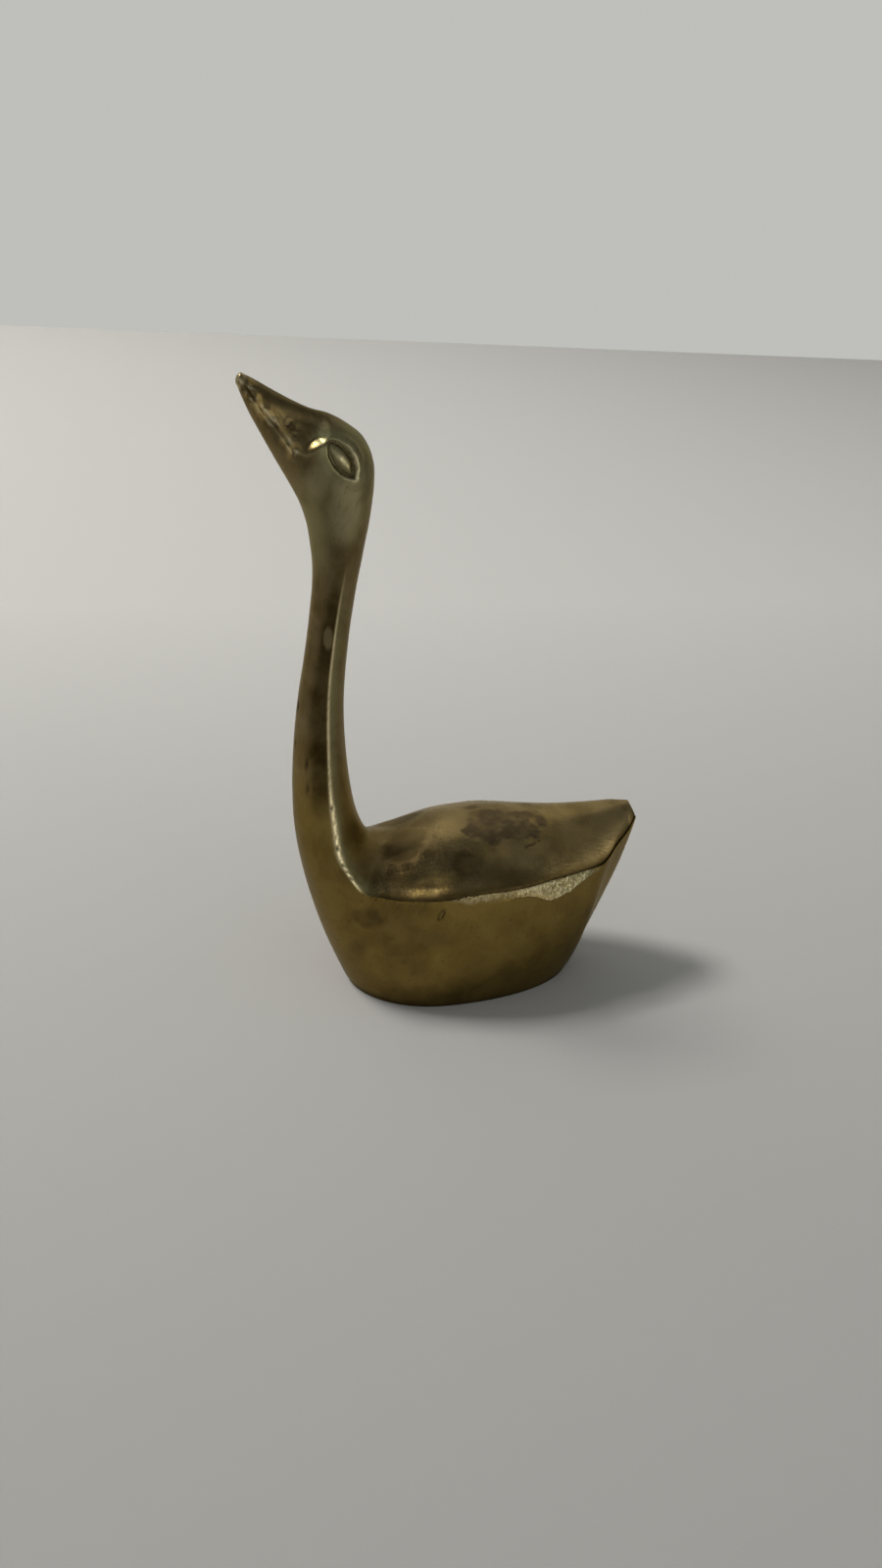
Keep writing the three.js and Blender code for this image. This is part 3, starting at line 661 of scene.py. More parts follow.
# Hull
hullLook = {
    "shoulderRows": 44, "rimRows": 210, "deckCols": 50, "wallCols": 3, "bevelCols": 12, "soleCols": 4,
    "flankU": crowdedStart(84, 1.25), "seatDrop": 1.6,
    "soleRibs": (23, 32), "soleEase": np.linspace(0, 0.35, 9)[1:] ** 2,  # closer rows at the sole's ends
    # width of the filed bevel along the rim, by place along X
    "bevelX": [-24, -12, -7.5, -4.5, -1.5, 2.5, 6.5, 9, 11, 13.4, 15.5, 17.8, 19.5, 21.5, 24, 27, 37],
    "bevelWidth": [0.25, 0.3, 0.5, 1.7, 2.1, 2.2, 1.8, 1.8, 2.3, 3.3, 4.0, 4.1, 3.5, 2.3, 0.9, 0.4, 0.3],
    "bevelFrom": (-22.0, -15.0), "bevelLeast": 0.15, "bevelRagged": 0.12, "bevelWaves": 0.24,
    # how far the filing brought the seam inward
    "insetX": [-24, -8, 0, 6, 12, 16, 20, 24, 28, 37],
    "inset": [0.05, 0.1, 0.4, 0.6, 1.2, 1.6, 1.5, 0.7, 0.2, 0.1],
    "insetSpread": np.linspace(-2.4, 2.4, 9), "insetMost": 0.45, "insetSink": 0.2,
    # the seat's hidden wall is drawn in where the tail overhangs; its depth shrinks to a share at the end
    "tuckRibs": (30.0, 32.0), "tuckEnd": 1.4, "tuckIn": 0.6, "tuckMost": 0.3,
    "tuckAhead": 0.7, "tuckDepth": 0.04,
    # cuts of a file and scratches below the rim: two ends in X and Z, depth, width
    "cuts": [((-22.7, 25.9), (-21.6, 28.0), 0.1, 0.12), ((-18.1, 25.5), (-17.2, 27.1), 0.07, 0.14),
             ((-15.6, 25.8), (-14.9, 27.2), 0.08, 0.12), ((-12.6, 26.2), (-12.1, 27.6), 0.06, 0.12),
             ((-20.2, 25.9), (-19.7, 27.2), 0.06, 0.12), ((-13.9, 24.6), (-13.0, 26.2), 0.05, 0.14)],
    # dents and pits: place, depth, size
    "pits": [((-18.7, -15.2, 18.9), 0.12, (0.7, 0.6, 0.3)), ((24.7, -10.0, 19.1), 0.1, (0.3, 0.3, 0.4)),
             ((-0.7, -17.0, 19.1), 0.1, (0.3, 0.3, 0.3)), ((-15.7, -15.2, 13.0), 0.08, (0.4, 0.4, 0.4)),
             ((-16.8, -12.8, 4.1), 0.1, (0.5, 0.4, 0.3)), ((4.0, 16.9, 22.0), 0.15, (0.9, 0.5, 0.5)),
             ((-12.0, 16.0, 14.0), 0.1, (0.5, 0.5, 0.5))],
    "almondPit": (-8.96, 25.3), "almondTilt": -66.0,
    "almondLength": 2.9, "almondWidth": 1.0, "almondDepth": 0.22,
    "nicks": [(19.4, 0.14), (19.75, 0.1), (20.1, 0.14)],  # rib and depth, left ridge
    "hammered": 0.08, "hammeredSize": 0.95,  # below the rim, towards the breast
    # short scores in the hammered part, drawn at random
    "scoreSeed": 5, "scoreCount": 46, "scoreX": (-24.0, -11.5), "scoreZ": (23.2, 28.2),
    "scoreRise": (0.5, 1.4), "scoreLean": (0.35, 0.8), "scoreDepth": (0.025, 0.06), "scoreWidth": 0.12,
    # file strokes and scoops on the bevel; the scoops are on its rear part
    "strokeLean": np.array([[0.88, 0, 0.47], [0, 1, 0], [-0.47, 0, 0.88]]),
    "strokes": 0.08, "strokeSize": 0.42, "scoops": 0.2, "scoopSize": 2.1, "scoopsFrom": 4,
    # darker places: a spot by its place and size, a corner of the flank in X and Z, and their strengths; the
    # darkening towards the foot is painted shade
    "spot": ((-23.3, -13.9, 23.1), (3.2, 3.0, 2.6)), "spotDark": 0.6,
    "corner": (-16.5, 19.0, 9.5, 12.0), "cornerDark": 0.55, "footShade": 0.55, "rearDark": 0.35,
    # the bevel's painted highlight and its warm patch are centred at these X
    "highlightX": 10.5, "warmX": 13.0, "topGreen": 0.8,
}
hullLook["lip"] = hullLook["deckCols"] + hullLook["wallCols"] - 1  # column of the seam
hullLook["edge"] = hullLook["lip"] + hullLook["bevelCols"]  # column of the ridge, and the flank's first
hullLook["overU"] = crowdedEnd(hullLook["edge"] + 1, 1.25)

scores = np.random.default_rng(hullLook["scoreSeed"])
for _ in range(hullLook["scoreCount"]):
    startX, startZ = scores.uniform(*hullLook["scoreX"]), scores.uniform(*hullLook["scoreZ"])
    rise, lean = scores.uniform(*hullLook["scoreRise"]), scores.uniform(*hullLook["scoreLean"])
    ends = (startX, startZ), (startX + rise * lean, startZ + rise)
    hullLook["cuts"].append((*ends, scores.uniform(*hullLook["scoreDepth"]), hullLook["scoreWidth"]))


def rimRibs():
    plain = np.linspace(backStart, lastRib, hullLook["rimRows"])
    (first, last), ease = hullLook["soleRibs"], hullLook["soleEase"]
    return np.unique(np.concatenate([plain, first + ease, last - ease, last + ease]))


def rimLine(g, side):
    return np.stack([g[:, 2], side * g[:, 3], g[:, 4]], -1)


def bevelWidth(points, side):
    look = hullLook
    width = np.interp(points[..., 0], look["bevelX"], look["bevelWidth"])
    ragged = look["bevelRagged"] * unevenness(points, 1.3, 11)
    ragged = ragged + look["bevelWaves"] * unevenness(points, 3.4, 12 + side)
    width = np.maximum(width * (1 + ragged), look["bevelLeast"])
    return width * smoothstep(*look["bevelFrom"], points[..., 0])


# Seam between hull and back: the top of the filed bevel
def seamLine(g, side):
    look = hullLook
    seam = rimLine(g, side)
    inset = np.interp(seam[:, :1] + look["insetSpread"], look["insetX"], look["inset"]).mean(1)
    inset = inset * smoothstep(*look["bevelFrom"], seam[:, 0])
    seam[:, 1] -= side * np.minimum(inset, look["insetMost"] * g[:, 3])
    seam[:, 2] -= look["insetSink"] * inset
    return seam


# Way from the seam down to the foot of its hidden wall
def wallFoot(t, y, side, depth):
    look = hullLook
    ending = smoothstep(lastRib, lastRib - look["tuckEnd"], t)
    tail = smoothstep(*look["tuckRibs"], t) * ending
    inward = -side * np.minimum(look["tuckIn"], look["tuckMost"] * np.abs(y)) * tail
    share = look["tuckDepth"] + (1 - look["tuckDepth"]) * ending
    return np.stack([-look["tuckAhead"] * tail, inward, -depth * share], -1)


def hullHalf(side):
    look = hullLook
    tShoulder, tRim = np.linspace(neckRoot, backStart, look["shoulderRows"]), rimRibs()
    shoulder = skinHalf(tShoulder, look["overU"], look["flankU"], side)
    g = guides(tRim)
    seam = seamLine(g, side)
    depth = np.linalg.norm(g[:, 5:7] - g[:, [2, 4]], axis=1)
    bevelU = np.clip(0.95 * bevelWidth(rimLine(g, side), side) / depth, 0, 0.6)[:, None]
    flank = underEdge(g, bevelU + (1 - bevelU) * look["flankU"], side)
    seat = seam + wallFoot(tRim, seam[:, 1], side, look["seatDrop"])
    rim = np.concatenate([linesBetween(seat * midPlane, seat, look["deckCols"] - 1)[:, :-1],
                          linesBetween(seat, seam, look["wallCols"])[:, :-1],
                          linesBetween(seam, flank[:, 0], look["bevelCols"])[:, :-1], flank], 1)
    return np.concatenate([tShoulder, tRim]), np.concatenate([shoulder, rim]), len(tShoulder)


# Where each point of a side is: the shoulder and its top, the seat, the bevel or the flank
def hullPlace(t, half, shoulderRows):
    look = hullLook
    lip, edge = look["lip"], look["edge"]
    col = np.arange(half.shape[1])[None, :]
    onShoulder = np.arange(len(t))[:, None] < shoulderRows
    return {
        "t": np.repeat(t[:, None], half.shape[1], 1), "x": half[..., 0], "z": half[..., 2],
        "ridge": np.linalg.norm(half - half[:, edge:edge + 1], axis=-1),
        "behind": col <= edge, "flank": col > edge, "shoulder": onShoulder, "top": onShoulder & (col < edge),
        "seat": ~onShoulder & (col < lip), "bevel": ~onShoulder & (col >= lip) & (col <= edge),
        "down": np.clip((col - lip) / look["bevelCols"], 0, 1),
        "wide": np.interp(half[..., 0], look["bevelX"], look["bevelWidth"]),
    }


# Pits, and the cuts, nicks and almond mark that only the left side has
def hullMarks(half, t, side):
    look = hullLook
    cuts = np.zeros(half.shape[:2])
    for start, end, depth, width in look["cuts"]:
        cuts += depth * bell(lineDistance(half, [start, end]), width)
    nicks = nickField(half, t, look["edge"], look["nicks"])
    along, across = turned(half, look["almondPit"], look["almondTilt"])
    almond = bell(insideAlmond(along, across, look["almondLength"], look["almondWidth"]) - 0.05, 0.16)
    almond = almond * (half[..., 2] > 20)
    return pitField(half, look["pits"]), *(mark * (side == left) for mark in (cuts, nicks, almond))


def hullRelief(half, at, marks):
    look = hullLook
    ridge, x, z = at["ridge"], at["x"], at["z"]
    pits, cuts, nicks, almond = marks
    rough = 0.25 + smoothstep(19.0, 25.0, z) * smoothstep(-3.0, -11.0, x)
    rough = rough * smoothstep(0.6, 2.0, ridge) * ~at["shoulder"] * at["flank"]
    rough = rough + 0.5 * at["top"] * smoothstep(0.5, 1.2, ridge) * smoothstep(4.5, 2.5, ridge)
    hammered = look["hammered"] * rough * unevenness(half, look["hammeredSize"], 18)
    relief = castRelief(half) + hammered - pits - cuts - nicks - look["almondDepth"] * almond
    slant = half @ look["strokeLean"].T
    strokes = unevenness(slant * np.array([1.0, 0.5, 0.28]), look["strokeSize"], 21)
    scoops = 0.5 - 2 * np.abs(unevenness(half * np.array([1.0, 0.5, 0.5]), look["scoopSize"], 22))
    filing = look["strokes"] * strokes + look["scoops"] * scoops * (x > look["scoopsFrom"])
    relief = relief * ~at["seat"] + at["bevel"] * smoothstep(0.6, 2.2, at["wide"]) * filing
    return relief * smoothstep(0.0, 1.2, z)


def hullPaint(half, at, marks, side):
    look = hullLook
    t, ridge, x, z, down = at["t"], at["ridge"], at["x"], at["z"], at["down"]
    pits, cuts, nicks, almond = marks
    broad = 0.5 + 0.5 * unevenness(half, 2.4, 9)
    # the bevel is brightest near the seam and fades into the flank towards the breast
    soft = smoothstep(1.0, 0.35, down + 0.5 * (broad - 0.5)) * smoothstep(10.0, 4.0, x)
    bared = at["bevel"] * smoothstep(0.4, 1.2, at["wide"]) * (soft + smoothstep(4.0, 10.0, x))
    # the filed metal's own spread, with a painted highlight just under the seam round the highlight's X and
    # a paler painted highlight towards the breast
    filedAndHighlight = 0.05 + 0.25 * broad + 0.6 * bell(x - look["highlightX"], 3.6) * bell(down, 0.55)
    filedAndHighlight = filedAndHighlight + 0.25 * smoothstep(6.0, 0.0, x)
    wearAndHighlight = strongest(at["shoulder"] * ridgeWear(t, ridge, at["behind"]) * ridgeShine(speckles(half)),
                     bared * np.clip(filedAndHighlight, 0, 1))
    burr = bared * smoothstep(0.1, 0.35, down) * smoothstep(0.95, 0.65, down)
    warmAndHighlight = bared * bell(x - look["warmX"], 3.0) * smoothstep(0.45, 0.8, down)
    # painted shade: the hidden seat in the seam is fully dark and a band just above the ground is darker;
    # pits, cuts, nicks and the almond mark are darker too
    grimeAndShade = strongest(at["seat"] * 1.0, 0.7 * bell(z, 1.1), almond,
                      np.minimum((pits + 0.6 * cuts + nicks) * 6, 0.8))
    green = strongest(look["topGreen"] * at["top"] * bell(ridge - 0.8, 1.8),
                      bared * smoothstep(9.0, 16.0, x - 2.0 * down))
    # darker towards the foot as painted shade, and towards the rear, on a corner of the flank, a spot and
    # the breast
    gap = spotGap(half, *look["spot"]) + 0.35 * unevenness(half, 1.6, 17)
    spot = smoothstep(1.2, 0.5, gap) * (side == left)
    corner = ovalGap(half, look["corner"], 2) + 0.35 * unevenness(half, 4.0, 16)
    tarnishAndShade = look["footShade"] * smoothstep(12.0, 2.0, z) + look["rearDark"] * smoothstep(14.0, 30.0, x)
    tarnishAndShade = tarnishAndShade + look["cornerDark"] * smoothstep(1.2, 0.4, corner)
    tarnishAndShade = tarnishAndShade + look["spotDark"] * spot + breastShare(half)
    tarnishAndShade = np.where(at["flank"], np.clip(tarnishAndShade, 0, 1), at["shoulder"] * notchShare(t, ridge))
    return {"wearAndHighlight": wearAndHighlight, "grimeAndShade": grimeAndShade, "green": green, "filed": bared, "burr": burr,
            "stain": np.zeros(t.shape), "warmAndHighlight": warmAndHighlight, "tarnishAndShade": tarnishAndShade,
            "neckTone": neckShare(half), "backTone": at["top"] * backShare(t, ridge)}


def buildHull():
    look = hullLook
    edge = look["edge"]
    halves, paints, kepts = [], [], []
    for side in (left, right):
        t, half, shoulderRows = hullHalf(side)
        at = hullPlace(t, half, shoulderRows)
        marks = hullMarks(half, t, side)
        normals = np.concatenate([gridNormals(part) for part in np.split(half, [shoulderRows])])
        moved = half + normals * hullRelief(half, at, marks)[..., None]
        kept = np.zeros(half.shape)
        kept[0] = jointNormals(neckRoot, look["overU"], look["flankU"], side)
        kept[shoulderRows - 1, :edge] = jointNormals(backStart, look["overU"], look["flankU"], side)[:edge]
        # sole, flat on the ground
        sole = linesBetween(moved[:, -1], moved[:, -1] * midPlane, look["soleCols"])[:, 1:]
        moved[:, 0] *= midPlane
        halves.append(np.concatenate([moved, sole], 1))
        kepts.append(np.concatenate([kept, np.zeros(sole.shape)], 1))
        paint = hullPaint(half, at, marks, side)
        onSole = ((0, 0), (0, look["soleCols"]))
        paints.append({label: np.pad(values, onSole) for label, values in paint.items()})
    hubShifts = (np.array([0, 0, -1.0]), np.array([0.1, 0, 0.05]))
    return joinHalves("hullCasting", halves, paints, kepts, hubShifts)


# Back
backLook = {
    "overU": crowdedEnd(80, 1.2), "sideCols": 4, "deckCols": 6, "sink": 1.4,
    "gap": 0.14, "gapMost": 0.3, "roll": 0.12, "rollWidth": 0.4,  # the edge rolls under into the seam
    "dents": 0.12, "dentSize": 7.0, "ripple": 0.05, "rippleSize": 2.8,
    "smooth": 0.85, "smoothFrom": 2.0, "smoothTo": 11.0,
    # shallow hollow above the rim and a swelling over it: depth, way up and its reach, X and its reach
    "hollows": [(0.5, 2.9, 1.8, -11.5, 6.0), (-0.4, 10.2, 3.8, -13.5, 6.5)],
    # patches: place and reach along X and Y, strength; the warm ones are painted highlights, the dark ones
    # partly tarnish and partly painted shade and dark reflections
    "stain": (5.6, -4.9, 9.4, 5.0, 1.0),
    "warmAndHighlight": [(-11.3, -14.5, 6.4, 2.4, 1.0), (-5.4, -5.2, 3.6, 3.4, 0.2), (2.5, -10.5, 4.5, 1.8, 0.4),
             (-16.5, -11.6, 2.4, 1.6, 0.35), (17.0, -6.0, 11.0, 8.0, 0.25)],
    "tarnishAndShade": [(-14.5, -9.4, 6.0, 3.0, 0.65), (-2.7, -12.4, 4.6, 2.6, 0.8), (8.0, -14.6, 9.0, 2.0, 0.7),
             (23.0, -9.0, 6.0, 3.0, 0.4), (-14.6, -5.0, 7.6, 3.8, 1.0), (-12.6, -0.6, 6.0, 3.4, 0.5),
             (0.6, -1.6, 1.8, 1.6, 0.9), (12.8, -2.6, 1.8, 2.4, 0.8)],
    "softEdge": 0.4,  # raggedness of the warm and dull patches, as a share of the stain's
    "scratch": [(8.9, -10.4), (10.2, -9.2), (11.2, -9.0), (12.9, -8.1)],  # in X and Y
    "scratchDepth": 0.13, "scratchWidth": 0.19, "creaseShade": 0.92, "frontGreen": 0.8,
}


def patchField(points, patch, seed, rough=1.0):
    ragged = 0.3 * unevenness(points, 2.4, seed) + 0.16 * unevenness(points, 0.9, seed + 1)
    return ovalGap(points, patch, 1) + rough * ragged


def patchesOn(points, patches, seed, edge):
    total = np.zeros(points.shape[:-1])
    for k, patch in enumerate(patches):
        total += patch[-1] * smoothstep(edge, 0.3, patchField(points, patch, seed + k, backLook["softEdge"]))
    return total


def backRelief(dome, t, rise, scratch, side):
    look = backLook
    settled = smoothstep(0.0, 3.0, rise) * smoothstep(backStart, backStart + 1.5, t)[:, None]
    dents = look["dents"] * unevenness(dome, look["dentSize"], 5)
    dents = dents + look["ripple"] * unevenness(dome, look["rippleSize"], 6)
    dents = dents * (1 - look["smooth"] * smoothstep(look["smoothFrom"], look["smoothTo"], dome[..., 0]))
    roll = -look["roll"] * bell(rise, look["rollWidth"]) * smoothstep(backStart, backStart + 1.0, t)[:, None]
    relief = castRelief(dome) + dents * settled + roll - look["scratchDepth"] * scratch
    for depth, height, reach, place, length in look["hollows"]:
        hollow = depth * bell(rise - height, reach) * bell(dome[..., 0] - place, length)
        relief = relief - hollow * settled * (side == left)
    return relief


def backPaint(dome, t, rise, scratch, side):
    look = backLook
    tt, none = np.repeat(t[:, None], dome.shape[1], 1), np.zeros(rise.shape)
    onLeft = dome * np.array([1, -side, 1])  # both sides take the patches of the left one
    stain = (1 - smoothstep(0.78, 1.0, patchField(dome, look["stain"], 14))) * (side == left)
    warmAndHighlight = patchesOn(onLeft, look["warmAndHighlight"], 40, 1.2)
    tarnishAndShade = np.maximum(patchesOn(onLeft, look["tarnishAndShade"], 50, 1.3), notchShare(tt, rise))
    # painted shade along the back's lower edge where it meets the seam
    crease = bell(rise, 1.3) * look["creaseShade"] * smoothstep(backStart, backStart + 1.0, tt)
    green = look["frontGreen"] * bell(rise - 0.8, 1.8) * smoothstep(22.4, 21.0, tt)
    return {"wearAndHighlight": none, "grimeAndShade": np.maximum(crease, scratch), "green": green, "filed": none,
            "stain": stain, "warmAndHighlight": np.clip(warmAndHighlight, 0, 1), "tarnishAndShade": np.clip(tarnishAndShade, 0, 1),
            "neckTone": neckShare(dome), "backTone": backShare(tt, rise)}


def buildBack():
    look = backLook
    t = rimRibs()
    halves, paints, kepts = [], [], []
    for side in (left, right):
        g = guides(t)
        lip = seamLine(g, side)
        gap = look["gap"] * smoothstep(backStart, backStart + 0.7, t)
        lip[:, 1] -= side * np.minimum(gap, look["gapMost"] * np.abs(lip[:, 1]))
        g[:, 2], g[:, 3], g[:, 4] = lip[:, 0], np.abs(lip[:, 1]), lip[:, 2]
        dome = overEdge(g, look["overU"], side)
        rise = np.linalg.norm(dome - dome[:, -1:], axis=-1)
        scratch = bell(lineDistance(dome[..., [0, 2, 1]], look["scratch"]), look["scratchWidth"])
        scratch = scratch * (side == left) * smoothstep(-0.5, 0.2, unevenness(dome, 0.8, 15))
        dome = dome + gridNormals(dome) * backRelief(dome, t, rise, scratch, side)[..., None]
        dome[:, 0] *= midPlane
        # hidden wall and underside
        lip = dome[:, -1]
        foot = lip + wallFoot(t, lip[:, 1], side, look["sink"])
        wall = linesBetween(lip, foot, look["sideCols"])[:, 1:]
        deck = linesBetween(foot, foot * midPlane, look["deckCols"])[:, 1:]
        halves.append(np.concatenate([dome, wall, deck], 1))
        kept, flush = np.zeros(halves[-1].shape), dome.shape[1] - 1
        kept[0, :flush] = jointNormals(backStart, look["overU"], hullLook["flankU"], side)[:flush]
        kepts.append(kept)
        hidden = ((0, 0), (0, look["sideCols"] + look["deckCols"]))
        paint = backPaint(dome, t, rise, scratch, side)
        # the hidden wall and underside are fully dark: painted shade seen in the seam
        paints.append({label: np.pad(values, hidden, constant_values=float(label == "grimeAndShade"))
                       for label, values in paint.items()})
    return joinHalves("backCasting", halves, paints, kepts, (np.zeros(3), np.array([0.1, 0, 0.1])))


# Eye beads: low uneven domes with pointed ends, standing in the recesses
eyeLook = {
    "length": 6.7, "width": 2.7, "base": -0.62, "rise": 0.6, "rings": 14, "around": 72,
    "dents": 0.12, "dentSize": 1.1,
    "ridgeLength": 0.12, "wallShare": 0.2,  # shares of the length and of the rise
    "skinRibs": np.linspace(4.0, 9.4, 160), "skinPoints": 6,  # skin of the head that the bead follows
    "green": 0.9, "wearAndHighlight": 0.55, "grimeAndShade": 0.8,
}


def buildEye(name, side):
    look = eyeLook
    radius = (look["length"] ** 2 + look["width"] ** 2) / (4 * look["width"])
    sweep = math.asin(look["length"] / 2 / radius)
    arc = np.linspace(-sweep, sweep, look["around"] // 2, endpoint=False)
    a = radius * np.sin(arc)
    b = radius * np.cos(arc) - radius + look["width"] / 2
    share = np.concatenate([[1.0], np.linspace(1.0, 0.0, look["rings"])])[:, None]
    dome = look["wallShare"] + (1 - look["wallShare"]) * (1 - share[1:] ** 2) ** 0.8
    level = np.concatenate([[[0.0]], dome])
    along = np.concatenate([a, -a]) * (look["ridgeLength"] + (1 - look["ridgeLength"]) * share)
    across = np.concatenate([b, -b]) * share
    tilt = math.radians(neckLook["eyeTilt"])
    x = eyeCentre[0] + along * math.cos(tilt) + across * math.sin(tilt)
    z = eyeCentre[1] - along * math.sin(tilt) + across * math.cos(tilt)
    # skin of the head behind each point
    skin = skinHalf(look["skinRibs"], neckLook["overU"], neckLook["underU"], left).reshape(-1, 3)
    gap = (x.ravel()[:, None] - skin[None, :, 0]) ** 2 + (z.ravel()[:, None] - skin[None, :, 2]) ** 2
    near = np.argpartition(gap, look["skinPoints"], axis=1)[:, :look["skinPoints"]]
    weight = 1 / (np.take_along_axis(gap, near, 1) + 1e-3)
    y = ((skin[near, 1] * weight).sum(1) / weight.sum(1)).reshape(x.shape)
    punched = look["dents"] * unevenness(np.stack([x, y, z], -1), look["dentSize"], 36) * (1 - share)
    y = -side * (y - look["base"] - level * look["rise"] - punched)
    points = np.stack([x, y, z], -1).reshape(-1, 3)
    rings, around = x.shape
    faces = gridFaces(rings, around, True).tolist() + [list(range(around))]
    paint = {label: np.zeros(len(points)) for label in ("filed", "stain", "warmAndHighlight", "tarnishAndShade", "backTone")}
    paint["neckTone"] = np.ones(len(points))
    paint["green"] = np.full(len(points), look["green"])
    paint["wearAndHighlight"] = np.repeat(look["wearAndHighlight"] * (1 - share) ** 2, around, 1).ravel()
    # the bead's low wall is dark: painted shade where it stands in the recess
    paint["grimeAndShade"] = np.repeat(np.where(level < 0.3, look["grimeAndShade"], 0.0), around, 1).ravel()
    return castingObject(name, points, faces, paint, np.zeros(points.shape))


# Math node on two values, each a number or a socket
def mathNode(tree, operation, a, b):
    made = tree.nodes.new("ShaderNodeMath")
    made.operation = operation
    for socket, value in zip(made.inputs, (a, b)):
        if isinstance(value, (int, float)):
            socket.default_value = value
        else:
            tree.links.new(value, socket)
    return made.outputs["Value"]


# A value taken from one range to another
def rangeNode(tree, source, low, high, start=0.0, end=1.0, kind="SMOOTHSTEP"):
    made = tree.nodes.new("ShaderNodeMapRange")
    made.interpolation_type = kind
    for key, value in zip(("From Min", "From Max", "To Min", "To Max"), (low, high, start, end)):
        made.inputs[key].default_value = value
    tree.links.new(source, made.inputs["Value"])
    return made.outputs["Result"]


# Mix of two tones, each a colour or a socket
def mixNode(tree, factor, a, b):
    made = tree.nodes.new("ShaderNodeMix")
    made.data_type = "RGBA"
    sockets = [s for s in made.inputs if s.enabled]
    tree.links.new(factor, sockets[0])
    for socket, value in zip(sockets[1:], (a, b)):
        if isinstance(value, tuple):
            socket.default_value = (*value, 1)
        else:
            tree.links.new(value, socket)
    return [s for s in made.outputs if s.enabled][0]


def plainMaterial(name, colour, rough):
    mat = bpy.data.materials.new(name)
    mat.use_nodes = True
    shader = mat.node_tree.nodes["Principled BSDF"]
    shader.inputs["Base Color"].default_value = (*colour, 1)
    shader.inputs["Roughness"].default_value = rough
    return mat


